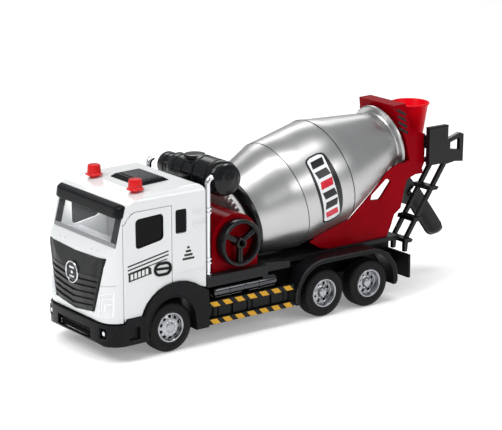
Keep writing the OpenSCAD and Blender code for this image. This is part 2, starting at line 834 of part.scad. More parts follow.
module hopper() {
    color("#e0151f") difference() {
        union() {
            translate([hopper_x, 0, 0]) rotate_extrude()
                polygon([[0, hopper_bottom], [hopper_foot_r, hopper_bottom], [hopper_r - 0.8, hopper_z - 1.2],
                    [hopper_r, hopper_z - 1.2], [hopper_r, hopper_z], [0, hopper_z]]);
            // Spout that leads into the drum's mouth.
            translate([-122, 0, 110]) rotate([0, 90 + spout_tilt, 0]) cylinder(r = 8.2, h = 20);
            translate([hopper_x, 0, hopper_bottom - 2]) cylinder(r = hopper_foot_r, h = 2.1);
        }
        translate([hopper_x, 0, 0]) rotate_extrude()
            polygon([[0, hopper_bottom], [hopper_foot_r - 1.4, hopper_bottom],
                [hopper_r - 1.6, hopper_z + 1], [0, hopper_z + 1]]);
        translate([-124, 0, 110.5]) rotate([0, 90 + spout_tilt, 0]) cylinder(r = 6.8, h = 30);
    }
}

ladder_in = 15.5;
ladder_out = 31;
rail_w = 2.8;
ladder_foot = [-98.2, 41];
ladder_top = [-133, 92];
ladder_dir = (ladder_top - ladder_foot) / norm(ladder_top - ladder_foot);
// Distances of the two steps up the ladder, which leave three bays.
step_ts = [15.2, 40.4];

module ladder() {
    color("#141517") {
        // Two rails.
        for (y = [ladder_in, ladder_out - rail_w]) side_plate([[-97.6, 31.2], [-97.6, 40], ladder_top,
            ladder_top - [3.6, 0], [-101.4, 41], [-100.2, 31.2]], y, y + rail_w);
        // Wedge-shaped steps, and the foot tread level with the deck.
        for (t = step_ts) {
            c = ladder_foot + ladder_dir * t;
            side_plate([c + [1.6, 1.6], c + [2.4, -1.2], c + [-5, -1.6], c + [-6.6, 0.4], c + [-4.4, 1.4]],
                ladder_in - 1.2, ladder_out + 1.4);
        }
        side_plate([[-96.2, 41.2], [-96.2, 38.4], [-102.2, 38], [-103.8, 39.6], [-101.8, 41.2]],
            ladder_in - 1.2, ladder_out + 2);
        // Platform box with its side plate, and the guard behind it.
        block([-136.6, ladder_out - 3.8, 91], [-119, ladder_out, 117.5]);
        block([-136.6, ladder_in, 91], [-124, ladder_out - 2, 93.4]);
        block([-122, 24.5, 103], [-119, ladder_out, 112]);
        difference() {
            side_plate([[-136, 90], [-136, 108], [-148, 111.5], [-151.3, 110], [-151, 90], [-143, 91]],
                ladder_out - 3.1, ladder_out);
            side_plate([[-138.8, 100.5], [-138.8, 105.4], [-147.6, 107.8], [-147.6, 99]], 20, 40);
        }
    }
}

// The chute is a half pipe with a round end, on a narrow arm under the pivot.
chute_skin = 1.4;
chute_top = [-128.5, 68];
chute_tip = [-151, 37.2];
chute_len = norm(chute_tip - chute_top);
chute_lean = atan2(chute_top[0] - chute_tip[0], chute_top[1] - chute_tip[1]);
chute_arm_half = 3.6;
chute_disc_h = 3.2;
// The trough is open on its upper side, from this far above its axis.
chute_open = 1.5;

// Children drawn with their +Z up the trough's axis.
module at_chute() {
    translate([chute_tip[0], 0, chute_tip[1]]) rotate([0, chute_lean, 0]) children();
}

module chute_tube(r) {
    sphere(r = r);
    cylinder(r = r, h = chute_len);
}

module chute() {
    color("#141517") {
        translate([chute_x, 0, bracket_z - 0.4 - chute_disc_h]) cylinder(r = 5.4, h = chute_disc_h);
        translate([chute_x, 0, bracket_z - 1]) cylinder(r = chute_pin_r, h = 5.5);
        difference() {
            side_plate([[-110, 80.4], [-110, 83.4], [-119, 83.4], [-129, 72], [-129, 58], [-121.5, 56.5],
                [-116.5, 80.4]], -chute_arm_half, chute_arm_half);
            at_chute() cylinder(r = chute_r - 0.6, h = chute_len);
        }
        at_chute() difference() {
            chute_tube(chute_r);
            translate([0, 0, eps]) chute_tube(chute_r - chute_skin);
            translate([-50 - chute_open, -20, -20]) cube([50, 40, 100]);
            translate([-20, -20, chute_len - 0.5]) cube([40, 40, 20]);
        }
    }
}

// ---------------------------------------------------------------- wheels

axle_half = 34;
front_dish = 3.4;
rear_dish = 4;

module axle(x) {
    color("#b9bcc0") bar_y(x, axle_z, axle_r, -axle_half, axle_half);
}

// A tyre on the left side, in its own frame, with its outer face at tyre_out.
module tyre_at(x) {
    color("#1b1b1c") translate([x, tyre_out, axle_z]) rotate([90, 0, 0]) rotate_extrude($fn = 64)
        polygon([[rim_r, 0.8], [rim_r + 2, 0], [tyre_r - 2, 0.3], [tyre_r - 0.5, 1.2], [tyre_r, 2.6],
            [tyre_r, 4.6], [tyre_r - 0.7, 4.8], [tyre_r - 0.7, 5.3], [tyre_r, 5.5], [tyre_r, tyre_w - 5.5],
            [tyre_r - 0.7, tyre_w - 5.3], [tyre_r - 0.7, tyre_w - 4.8], [tyre_r, tyre_w - 4.6],
            [tyre_r, tyre_w - 2.6], [tyre_r - 0.5, tyre_w - 1.2], [tyre_r - 2, tyre_w - 0.3],
            [rim_r, tyre_w]]);
}

// A dished rim with a ring of round holes and a blind bore for the axle.
module rim_at(x, dish, holes) {
    color("#c8cbce") translate([x, tyre_out, axle_z]) rotate([90, 0, 0]) difference() {
        rotate_extrude($fn = 64) polygon([[0, dish - 2.6], [2.6, dish - 2.6], [3.2, dish], [7.6, dish],
            [rim_r - 1.2, 0.9], [rim_r, 0.9], [rim_r, tyre_w], [rim_r - 1.2, tyre_w],
            [rim_r - 1.2, dish + 1.8], [3.4, dish + 1.8], [3.4, 10], [0, 10]]);
        translate([0, 0, tyre_out - axle_half]) cylinder(r = axle_r, h = 10);
        for (i = [0:holes - 1]) rotate([0, 0, 360 / holes * i]) translate([5.9, 0, dish - 1])
            cylinder(r = 0.9, h = 4);
    }
}

module axle_front() { axle(axle_xs[0]); }
module axle_middle() { axle(axle_xs[1]); }
module axle_rear() { axle(axle_xs[2]); }
module tyre_front_left() { tyre_at(axle_xs[0]); }
module tyre_front_right() { mirror([0, 1, 0]) tyre_at(axle_xs[0]); }
module tyre_middle_left() { tyre_at(axle_xs[1]); }
module tyre_middle_right() { mirror([0, 1, 0]) tyre_at(axle_xs[1]); }
module tyre_rear_left() { tyre_at(axle_xs[2]); }
module tyre_rear_right() { mirror([0, 1, 0]) tyre_at(axle_xs[2]); }
module rim_front_left() { rim_at(axle_xs[0], front_dish, 10); }
module rim_front_right() { mirror([0, 1, 0]) rim_at(axle_xs[0], front_dish, 10); }
module rim_middle_left() { rim_at(axle_xs[1], rear_dish, 8); }
module rim_middle_right() { mirror([0, 1, 0]) rim_at(axle_xs[1], rear_dish, 8); }
module rim_rear_left() { rim_at(axle_xs[2], rear_dish, 8); }
module rim_rear_right() { mirror([0, 1, 0]) rim_at(axle_xs[2], rear_dish, 8); }

// Self-tapping screws, sunk in the chassis, that clamp it to the deck and the cab.
module assembly_screws() {
    color("silver") at_screws() {
        translate([0, 0, frame_bottom + screw_recess - screw_head_h])
            cylinder(r = screw_head_r, h = screw_head_h);
        translate([0, 0, frame_bottom + screw_recess]) cylinder(r = screw_shank_r, h = screw_len);
    }
}

chassis_frame();
deck_cover();
front_bumper();
cab_shell();
cab_interior();
windscreen();
sun_visor();
grille();
grille_badge();
side_windows();
lamp_lenses();
roof_hatch();
circuit_board();
speaker();
battery_cells();
battery_cover();
air_cleaner();
exhaust_stacks();
air_tanks();
side_guards();
rear_fenders();
gearbox_housing();
rear_support();
hopper();
ladder();
rear_beam();
assembly_screws();
door_left();
door_glass_left();
door_right();
door_glass_right();
beacon_left();
beacon_right();
spring_left();
spring_right();
crown_gear();
drum_cup();
drum_front_cone();
drum_band();
drum_rear_cone();
pinion();
crank_shaft();
hand_wheel();
chute();
axle_front();
axle_middle();
axle_rear();
tyre_front_left();
tyre_front_right();
tyre_middle_left();
tyre_middle_right();
tyre_rear_left();
tyre_rear_right();
rim_front_left();
rim_front_right();
rim_middle_left();
rim_middle_right();
rim_rear_left();
rim_rear_right();
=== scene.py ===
"""Looks of the toy cement mixer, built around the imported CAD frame.

Shapes are given in millimetres and become metres in piece(). The camera and the lights are in metres.
"""
import json
import math

import bmesh
import bpy
from mathutils import Matrix, Vector
from mathutils.bvhtree import BVHTree


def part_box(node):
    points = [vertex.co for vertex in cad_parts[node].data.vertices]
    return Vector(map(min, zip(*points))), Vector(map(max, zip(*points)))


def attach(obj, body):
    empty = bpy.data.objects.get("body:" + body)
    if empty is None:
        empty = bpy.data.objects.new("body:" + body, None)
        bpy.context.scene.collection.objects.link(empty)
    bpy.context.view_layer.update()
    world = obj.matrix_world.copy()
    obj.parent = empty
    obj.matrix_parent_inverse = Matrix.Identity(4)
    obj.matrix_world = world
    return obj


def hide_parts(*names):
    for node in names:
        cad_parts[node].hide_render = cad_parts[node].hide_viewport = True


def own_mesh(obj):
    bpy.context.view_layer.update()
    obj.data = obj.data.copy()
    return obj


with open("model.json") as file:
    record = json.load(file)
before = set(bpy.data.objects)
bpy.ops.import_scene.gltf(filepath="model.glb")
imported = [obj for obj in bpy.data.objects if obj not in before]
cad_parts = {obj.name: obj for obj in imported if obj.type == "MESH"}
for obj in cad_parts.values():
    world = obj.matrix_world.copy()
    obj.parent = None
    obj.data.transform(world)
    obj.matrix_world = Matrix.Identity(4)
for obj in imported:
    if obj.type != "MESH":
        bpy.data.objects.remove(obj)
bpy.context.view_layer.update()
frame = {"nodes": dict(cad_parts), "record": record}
NODES = frame["nodes"]
BODY_OF = {n: b for b, ns in frame["record"]["behaviour"]["bodies"].items() for n in ns}
SLOT_OF = {s["node"]: s["material_slot"] for s in frame["record"]["subparts"]}
MM = 0.001
ALONG_X, ALONG_Y, ALONG_Z = (Vector(axis) for axis in ((1, 0, 0), (0, 1, 0), (0, 0, 1)))


# ---------------------------------------------------------------- mesh helpers

def piece(name, part, material, node=None, body="root", smooth=32.0, edge=0.0, segments=2, place=None):
    """A mesh object from points and faces, riding on its body and standing for a CAD node if one is named."""
    verts, faces = part
    mesh = bpy.data.meshes.new(name)
    mesh.from_pydata([Vector(v) * MM for v in verts], [], faces)
    bm = bmesh.new()
    bm.from_mesh(mesh)
    bmesh.ops.recalc_face_normals(bm, faces=bm.faces)
    for face in bm.faces:
        face.smooth = True
    bm.to_mesh(mesh)
    bm.free()
    mesh.set_sharp_from_angle(angle=math.radians(smooth))
    mesh.materials.append(MATERIALS[material])
    obj = bpy.data.objects.new(name, mesh)
    bpy.context.scene.collection.objects.link(obj)
    if place is not None:
        obj.matrix_world = place
    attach(obj, body)
    if node:
        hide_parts(node)
    if edge:
        round_edges(obj, edge, segments)
    return obj


def round_edges(obj, width, segments):
    """Rounded edges, as a mould leaves them, with normals that keep the flats flat."""
    bevel = obj.modifiers.new("round_edges", "BEVEL")
    bevel.width = width * MM
    bevel.segments = segments
    bevel.limit_method = "ANGLE"
    bevel.angle_limit = math.radians(30)
    bevel.use_clamp_overlap = True
    flats = obj.modifiers.new("flat_normals", "WEIGHTED_NORMAL")
    flats.keep_sharp = True
    flats.weight = 80


def side_pieces(name, part, material, nodes=(None, None), bodies=("root", "root")):
    """The same piece on both sides of the truck."""
    verts, faces = part
    other = [Vector((v[0], -v[1], v[2])) for v in verts], [list(reversed(f)) for f in faces]
    for side, shape, node, body in zip(("left", "right"), (part, other), nodes, bodies):
        piece(f"{name}_{side}", shape, material, node, body)


def flat_faced(node, front_of=None):
    """Points and faces of a CAD node with its flats joined up, or only of what lies in front of an x."""
    bm = bmesh.new()
    bm.from_mesh(NODES[node].data)
    if front_of is not None:
        everything = list(bm.verts) + list(bm.edges) + list(bm.faces)
        bmesh.ops.bisect_plane(bm, geom=everything, plane_co=(front_of * MM, 0, 0), plane_no=(1, 0, 0),
                               clear_inner=True)
    bmesh.ops.remove_doubles(bm, verts=bm.verts, dist=0.01 * MM)
    bmesh.ops.dissolve_limit(bm, angle_limit=math.radians(3), verts=bm.verts, edges=bm.edges)
    index = {v: i for i, v in enumerate(bm.verts)}
    verts = [v.co / MM for v in bm.verts]
    faces = [[index[v] for v in f.verts] for f in bm.faces]
    bm.free()
    return verts, faces


def lathed(profile, count=96, place=Matrix.Identity(4), closed=False, radius_of=None, skip=None):
    """Points and faces of a turned shape from (radius, height) pairs, with some faces left out by skip."""
    verts, faces, rows = [], [], []
    for k, (radius, height) in enumerate(profile):
        if radius < 1e-6:
            rows.append([len(verts)] * count)
            verts.append(place @ Vector((0, 0, height)))
            continue
        rows.append(range(len(verts), len(verts) + count))
        for i in range(count):
            a = 2 * math.pi * i / count
            r = radius_of(k, i, radius) if radius_of else radius
            verts.append(place @ Vector((r * math.cos(a), r * math.sin(a), height)))
    pairs = list(zip(rows, rows[1:])) + ([(rows[-1], rows[0])] if closed else [])
    for k, (low, high) in enumerate(pairs):
        for i in range(count):
            if skip and skip(k, i):
                continue
            j = (i + 1) % count
            faces.append(list(dict.fromkeys([low[i], low[j], high[j], high[i]])))
    return verts, [f for f in faces if len(f) > 2]


def joined(*parts):
    """Several parts as one."""
    verts, faces = [], []
    for part_verts, part_faces in parts:
        start = len(verts)
        verts += list(part_verts)
        faces += [[start + i for i in f] for f in part_faces]
    return verts, faces


def box(lo, hi):
    verts = [Vector((x, y, z)) for x in (lo[0], hi[0]) for y in (lo[1], hi[1]) for z in (lo[2], hi[2])]
    return verts, [[0, 1, 3, 2], [4, 6, 7, 5], [0, 4, 5, 1], [2, 3, 7, 6], [0, 2, 6, 4], [1, 5, 7, 3]]


def swept(rings):
    """A bar through sections that are loops of as many points each, closed at both ends."""
    n, last = len(rings[0]), len(rings) - 1
    faces = [[k * n + i, k * n + (i + 1) % n, (k + 1) * n + (i + 1) % n, (k + 1) * n + i]
             for k in range(last) for i in range(n)]
    faces += [list(range(n - 1, -1, -1)), list(range(last * n, last * n + n))]
    return [p for ring in rings for p in ring], faces


def prism(outline, y0, y1):
    """An outline in X and Z, extruded along Y."""
    return swept([[Vector((x, y, z)) for x, z in outline] for y in (y0, y1)])


def tube(path, radius, sides=8, up=ALONG_Y):
    """A round bar swept along a path. up is a direction that the path never takes."""
    points = [Vector(p) for p in path]
    rings = []
    for before, point, after in zip(points[:1] + points, points, points[1:] + points[-1:]):
        along = (after - before).normalized()
        side = along.cross(up).normalized() * radius
        top = side.cross(along)
        rings.append([point + side * x + top * y for x, y in arc((0, 0), 1, 0, 360, sides)[:-1]])
    return swept(rings)


def plate(outline, y0, y1, round_mm, holes=()):
    """A plate in the XZ plane between y0 and y1, with holes and rounded edges."""
    curve = bpy.data.curves.new("plate", "CURVE")
    curve.dimensions = "2D"
    curve.fill_mode = "BOTH"
    curve.bevel_depth = round_mm * MM
    curve.bevel_resolution = 2
    curve.offset = -round_mm * MM
    curve.extrude = ((y1 - y0) / 2 - round_mm) * MM
    for loop in [outline] + list(holes):
        spline = curve.splines.new("POLY")
        spline.points.add(len(loop) - 1)
        for point, (a, b) in zip(spline.points, loop):
            point.co = (a * MM, b * MM, 0, 1)
        spline.use_cyclic_u = True
    carrier = bpy.data.objects.new("plate", curve)
    bpy.context.scene.collection.objects.link(carrier)
    shape = carrier.evaluated_get(bpy.context.evaluated_depsgraph_get())
    mesh = bpy.data.meshes.new_from_object(shape)
    bpy.data.objects.remove(carrier)
    middle = (y0 + y1) / 2
    verts = [Vector((v.co.x / MM, middle - v.co.z / MM, v.co.y / MM)) for v in mesh.vertices]
    faces = [list(f.vertices) for f in mesh.polygons]
    bpy.data.meshes.remove(mesh)
    return verts, faces


# ---------------------------------------------------------------- outlines and places

def rounded(outline, radius, steps=4):
    """The outline with each corner replaced by a curve."""
    points = []
    for i, corner in enumerate(outline):
        here = Vector(corner)
        before = Vector(outline[i - 1]) - here
        after = Vector(outline[(i + 1) % len(outline)]) - here
        r = min(radius, before.length * 0.45, after.length * 0.45)
        a, b = here + before.normalized() * r, here + after.normalized() * r
        for k in range(steps + 1):
            t = k / steps
            points.append((1 - t) ** 2 * a + 2 * t * (1 - t) * here + t ** 2 * b)
    return [(p.x, p.y) for p in points]


def rectangle(a0, b0, a1, b1):
    return [(a0, b0), (a1, b0), (a1, b1), (a0, b1)]


def arc(centre, radius, start, stop, steps):
    """Points at even steps along an arc, from one angle to another in degrees."""
    angles = [math.radians(start + (stop - start) * k / steps) for k in range(steps + 1)]
    return [(centre[0] + radius * math.cos(a), centre[1] + radius * math.sin(a)) for a in angles]


def oval(cx, cz, half_x, half_z, steps=28):
    """An oval with round ends."""
    run = half_x - half_z
    return [(cx + math.copysign(run, math.cos(a)) + half_z * math.cos(a), cz + half_z * math.sin(a))
            for a in [2 * math.pi * (k + 0.5) / steps for k in range(steps)]]


def stripe(start, end, width):
    """Outline of a straight stripe between two points."""
    a, b = Vector(start), Vector(end)
    across = Vector((-(b - a).y, (b - a).x)).normalized() * width / 2
    return [tuple(a - across), tuple(b - across), tuple(b + across), tuple(a + across)]


def scaled(outline, centre, share):
    return [tuple(Vector(centre).lerp(Vector(p), share)) for p in outline]


def straight(a, b, steps):
    return [(a[0] + (b[0] - a[0]) * k / steps, a[1] + (b[1] - a[1]) * k / steps) for k in range(steps + 1)]


def along_axis(origin, axis):
    """Matrix that takes local +Z to the axis, at the origin."""
    turn = Vector(axis).to_track_quat("Z", "Y").to_matrix().to_4x4()
    return Matrix.Translation(Vector(origin)) @ turn


def upright(x, y=0.0):
    return Matrix.Translation((x, y, 0))


# ---------------------------------------------------------------- camera, floor and light

CAMERA_AZIMUTH = 143.67
CAMERA_ELEVATION = 15.13
CAMERA_DISTANCE = 1.4328
CAMERA_TARGET = Vector((0.01487, 0.0, 0.06958))
CAMERA_LENS_MM = 149.7
LIGHT_TARGET = Vector((0, 0, 0.06))
# Name, azimuth and elevation in degrees, distance, size and power in watts.
STUDIO_LIGHTS = (("key_light", 95, 48, 1.6, (0.9, 0.7), 15),
                 ("fill_light", 200, 26, 1.8, (1.2, 0.5), 7),
                 ("top_light", 150, 82, 1.4, (1.2, 0.5), 9),
                 ("back_light", 330, 35, 1.8, (1.2, 0.5), 6))


def direction(azimuth, elevation):
    """Unit vector from a target towards the camera or a light."""
    a, e = math.radians(azimuth), math.radians(elevation)
    return Vector((math.sin(a) * math.cos(e), -math.cos(a) * math.cos(e), math.sin(e)))


def looking_from(name, data, target, back, distance):
    """A camera or light that looks at the target from the direction named."""
    holder = bpy.data.objects.new(name, data)
    holder.location = target + back * distance
    holder.rotation_euler = back.to_track_quat("Z", "Y").to_euler()
    bpy.context.scene.collection.objects.link(holder)
    return holder


def area_light(name, size, watts):
    data = bpy.data.lights.new(name, "AREA")
    data.shape = "RECTANGLE"
    data.size, data.size_y = size
    data.energy = watts
    return data


def make_camera():
    data = bpy.data.cameras.new("camera")
    data.lens = CAMERA_LENS_MM
    data.sensor_width = 36.0
    data.clip_start = 0.01
    data.clip_end = 30.0
    back = direction(CAMERA_AZIMUTH, CAMERA_ELEVATION)
    bpy.context.scene.camera = looking_from("camera", data, CAMERA_TARGET, back, CAMERA_DISTANCE)


def make_floor(half=4.0):
    mesh = bpy.data.meshes.new("floor")
    mesh.from_pydata([(x, y, 0) for x, y in rectangle(-half, -half, half, half)], [], [(0, 1, 2, 3)])
    floor = bpy.data.objects.new("floor", mesh)
    bpy.context.scene.collection.objects.link(floor)
    paint = bpy.data.materials.new("floor_paint")
    paint.use_nodes = True
    set_inputs(paint.node_tree.nodes["Principled BSDF"],
               {"Base Color": (0.9, 0.9, 0.9, 1), "Roughness": 0.7, "Emission Color": (1, 1, 1, 1),
                "Emission Strength": 0.24})
    mesh.materials.append(paint)


def make_lights():
    """A pale studio, four large lamps, and a small one that brightens the inside of the cab."""
    world = bpy.data.worlds.new("studio")
    world.use_nodes = True
    set_inputs(world.node_tree.nodes["Background"], {"Color": (0.95, 0.97, 1.0, 1), "Strength": 0.4})
    bpy.context.scene.world = world
    bpy.context.scene.view_settings.view_transform = "Standard"
    for name, azimuth, elevation, distance, size, watts in STUDIO_LIGHTS:
        back = direction(azimuth, elevation)
        looking_from(name, area_light(name, size, watts), LIGHT_TARGET, back, distance)
    cabin = bpy.data.objects.new("cabin_light", area_light("cabin_light", (0.02, 0.02), 0.016))
    cabin.location = (0.127, -0.026, 0.0955)
    bpy.context.scene.collection.objects.link(cabin)


# ---------------------------------------------------------------- materials

def set_inputs(node, values):
    for name, value in values.items():
        node.inputs[name].default_value = value
    return node


def surface(name, colour, roughness, metallic=0.0, coat=0.0, coat_roughness=0.1, specular=0.5,
            grain_mm=0.4, grain_depth=0.02, patch_mm=20.0, shade=0.06, rough_swing=0.08, wear=0.0,
            wear_colour=(0.5, 0.5, 0.5), transmission=0.0, alpha=1.0, brush=(1, 1, 1)):
    """A moulded or painted surface: fine grain as bump, slow patches of shade and gloss, and scuffs."""
    mat = bpy.data.materials.new(name)
    mat.use_nodes = True
    nodes, link = mat.node_tree.nodes, mat.node_tree.links.new
    shader = set_inputs(nodes["Principled BSDF"],
                        {"Metallic": metallic, "Coat Weight": coat, "Coat Roughness": coat_roughness,
                         "Specular IOR Level": specular, "Transmission Weight": transmission,
                         "Alpha": alpha, "IOR": 1.45})
    place = nodes.new("ShaderNodeTexCoord").outputs["Object"]
    patches = set_inputs(nodes.new("ShaderNodeTexNoise"), {"Scale": 1.0 / (patch_mm * MM), "Detail": 4.0})
    link(place, patches.inputs["Vector"])
    tint = nodes.new("ShaderNodeValToRGB")
    for stop, position, change in zip(tint.color_ramp.elements, (0.35, 0.65), (-shade, shade)):
        stop.position = position
        stop.color = (*[min(1.0, c * (1 + change)) for c in colour], 1)
    link(patches.outputs["Fac"], tint.inputs["Fac"])
    colour_out = tint.outputs["Color"]
    if wear:
        scuffs = set_inputs(nodes.new("ShaderNodeTexNoise"),
                            {"Scale": 1.0 / (1.4 * MM), "Detail": 6.0, "Distortion": 1.5})
        link(place, scuffs.inputs["Vector"])
        worn = set_inputs(nodes.new("ShaderNodeMapRange"),
                          {"From Min": 0.6, "From Max": 0.75, "To Max": wear})
        link(scuffs.outputs["Fac"], worn.inputs["Value"])
        mix = nodes.new("ShaderNodeMix")
        mix.data_type = "RGBA"
        link(worn.outputs["Result"], mix.inputs["Factor"])
        link(colour_out, mix.inputs["A"])
        mix.inputs["B"].default_value = (*wear_colour, 1)
        colour_out = mix.outputs["Result"]
    link(colour_out, shader.inputs["Base Color"])
    gloss = set_inputs(nodes.new("ShaderNodeMapRange"),
                       {"From Min": 0.3, "From Max": 0.7, "To Min": max(0.02, roughness - rough_swing),
                        "To Max": roughness + rough_swing})
    link(patches.outputs["Fac"], gloss.inputs["Value"])
    link(gloss.outputs["Result"], shader.inputs["Roughness"])
    stretch = set_inputs(nodes.new("ShaderNodeMapping"), {"Scale": brush})
    link(place, stretch.inputs["Vector"])
    grain = set_inputs(nodes.new("ShaderNodeTexNoise"), {"Scale": 1.0 / (grain_mm * MM), "Detail": 3.0})
    link(stretch.outputs["Vector"], grain.inputs["Vector"])
    bump = set_inputs(nodes.new("ShaderNodeBump"), {"Strength": 0.35, "Distance": grain_depth * MM})
    link(grain.outputs["Fac"], bump.inputs["Height"])
    link(bump.outputs["Normal"], shader.inputs["Normal"])
    return mat


FINISHES = {
    "black_plastic": dict(colour=(0.005, 0.0053, 0.006), roughness=0.33, specular=0.13, grain_mm=0.35,
                          grain_depth=0.03, wear=0.25, wear_colour=(0.09, 0.09, 0.095)),
    "dark_grey_plastic": dict(colour=(0.011, 0.0115, 0.0125), roughness=0.36, specular=0.2, grain_depth=0.03),
    "white_paint": dict(colour=(0.66, 0.672, 0.67), roughness=0.22, coat=0.6, coat_roughness=0.06,
                        grain_mm=1.2, grain_depth=0.012, shade=0.012, rough_swing=0.04),
    "grey_plastic": dict(colour=(0.26, 0.27, 0.28), roughness=0.45, grain_depth=0.04),
    "smoky_glass": dict(colour=(0.3, 0.315, 0.33), roughness=0.04, grain_depth=0.002, shade=0.02,
                        rough_swing=0.02, alpha=0.14),
    "dark_glass": dict(colour=(0.004, 0.0042, 0.0048), roughness=0.1, specular=0.09, grain_depth=0.002,
                       rough_swing=0.03),
    "grille_black": dict(colour=(0.007, 0.0074, 0.008), roughness=0.3, specular=0.22, grain_depth=0.02,
                         wear=0.2, wear_colour=(0.08, 0.08, 0.085)),
    "chrome": dict(colour=(0.66, 0.67, 0.69), roughness=0.17, metallic=1.0, grain_depth=0.004, shade=0.05,
                   rough_swing=0.05),
    "wheel_grey": dict(colour=(0.36, 0.365, 0.38), roughness=0.27, metallic=0.95, grain_depth=0.004,
                       shade=0.06, rough_swing=0.05),
    "clear_lens": dict(colour=(0.85, 0.87, 0.9), roughness=0.1, coat=0.5, grain_depth=0.003, shade=0.02,
                       rough_swing=0.03),
    "board_green": dict(colour=(0.03, 0.15, 0.06), roughness=0.5),
    "speaker_grey": dict(colour=(0.22, 0.23, 0.24), roughness=0.5),
    "steel": dict(colour=(0.6, 0.61, 0.62), roughness=0.3, metallic=1.0, grain_depth=0.006),
    "gloss_black": dict(colour=(0.004, 0.0043, 0.005), roughness=0.2, specular=0.3, grain_mm=0.8,
                        grain_depth=0.01, wear=0.15, wear_colour=(0.07, 0.07, 0.075)),
    "tank_silver": dict(colour=(0.075, 0.077, 0.082), roughness=0.17, metallic=1.0, grain_depth=0.01,
                        shade=0.12),
    "guard_stripes": dict(colour=(0.0055, 0.0058, 0.0065), roughness=0.36, specular=0.17),
    "red_plastic": dict(colour=(0.235, 0.0005, 0.0045), roughness=0.2, specular=0.03, grain_mm=1.0,
                        grain_depth=0.012, shade=0.08, rough_swing=0.06),
    "bright_red_plastic": dict(colour=(0.7, 0.002, 0.01), roughness=0.22, specular=0.06, grain_mm=1.0,
                               grain_depth=0.012, shade=0.05, rough_swing=0.05),
    "beacon_red": dict(colour=(0.8, 0.008, 0.01), roughness=0.1, transmission=0.35, grain_depth=0.003,
                       shade=0.03, rough_swing=0.03),
    "gear_white": dict(colour=(0.8, 0.8, 0.78), roughness=0.35, grain_depth=0.02, shade=0.03),
    "drum_silver": dict(colour=(0.47, 0.47, 0.465), roughness=0.33, metallic=0.95, grain_mm=0.5, patch_mm=40,
                        grain_depth=0.01, shade=0.04, rough_swing=0.03, brush=(0.04, 0.04, 1)),
    "stripe_yellow": dict(colour=(0.55, 0.285, 0.012), roughness=0.4, specular=0.3, grain_depth=0.01),
    "label_black": dict(colour=(0.01, 0.01, 0.011), roughness=0.3, specular=0.4, grain_depth=0.004),
    "label_red": dict(colour=(0.55, 0.01, 0.03), roughness=0.3, grain_depth=0.004, shade=0.04),
    "label_silver": dict(colour=(0.72, 0.73, 0.74), roughness=0.3, grain_depth=0.004, shade=0.03),
    "tyre_rubber": dict(colour=(0.007, 0.007, 0.0075), roughness=0.55, specular=0.16, grain_mm=0.5,
                        grain_depth=0.05, shade=0.12, wear=0.3, wear_colour=(0.05, 0.05, 0.05)),
}
MATERIALS = {name: surface(name, **looks) for name, looks in FINISHES.items()}
# CAD nodes whose shape is right as it is, and how wide the rounding of their edges is.
MOULDED = {"chassis_frame": 0.35, "deck_cover": 0.4, "cab_shell": 0.6, "cab_interior": 0.6,
           "rear_fenders": 0.5, "gearbox_housing": 0.4, "rear_support": 0.5, "ladder": 0.3, "rear_beam": 0.4,
           "roof_hatch": 0.5, "battery_cover": 0.3, "chute": 0.4}


def dress_cad_nodes():
    """Every CAD node gets its slot's material, and those in MOULDED a copy with rounded edges."""
    for name, node in NODES.items():
        node.data.materials.clear()
        node.data.materials.append(MATERIALS[SLOT_OF[name]])
    for name, edge in MOULDED.items():
        piece(name + "_moulded", flat_faced(name), SLOT_OF[name], name, BODY_OF[name], edge=edge)


# ---------------------------------------------------------------- wheels

TYRE_R = 17.0
TYRE_W = 12.0
TYRE_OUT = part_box("tyre_front_left")[1][1] / MM
RIM_R = 10.0
TREAD_NOTCHES = 46
SLICES_PER_NOTCH = 3


def wheel_place(node):
    """Local +Z runs from the tyre's outer face towards the truck's middle."""
    centre = (Vector(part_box(node)[0]) / MM + Vector(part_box(node)[1]) / MM) / 2
    side = 1 if centre.y > 0 else -1
    return along_axis((centre.x, side * TYRE_OUT, centre.z), (0, -side, 0))


def tyre(node):
    sidewall = [(RIM_R, 0.9), (RIM_R + 0.4, 0.35), (RIM_R + 1.0, 0.1), (12.0, 0.0), (12.2, 0.22),
                (12.5, 0.22), (12.7, 0.0), (14.4, 0.1), (15.2, 0.35), (15.9, 0.75)]
    shoulder = [(16.5, 1.35), (16.9, 2.1), (TYRE_R, 2.9)]
    groove = [(TYRE_R, 4.4), (TYRE_R - 0.7, 4.55), (TYRE_R - 0.7, 5.15), (TYRE_R, 5.3)]
    half = sidewall + shoulder + groove
    profile = half + [(r, TYRE_W - z) for r, z in reversed(half)]
    first = len(sidewall)
    notched = [*range(first, first + 3), *range(len(profile) - first - 3, len(profile) - first)]

    def radius_of(k, i, radius):
        return radius - (0.55 if k in notched and i % SLICES_PER_NOTCH == 0 else 0)

    part = lathed(profile, TREAD_NOTCHES * SLICES_PER_NOTCH, wheel_place(node), True, radius_of)
    piece(node + "_treaded", part, "tyre_rubber", node, BODY_OF[node], 28)


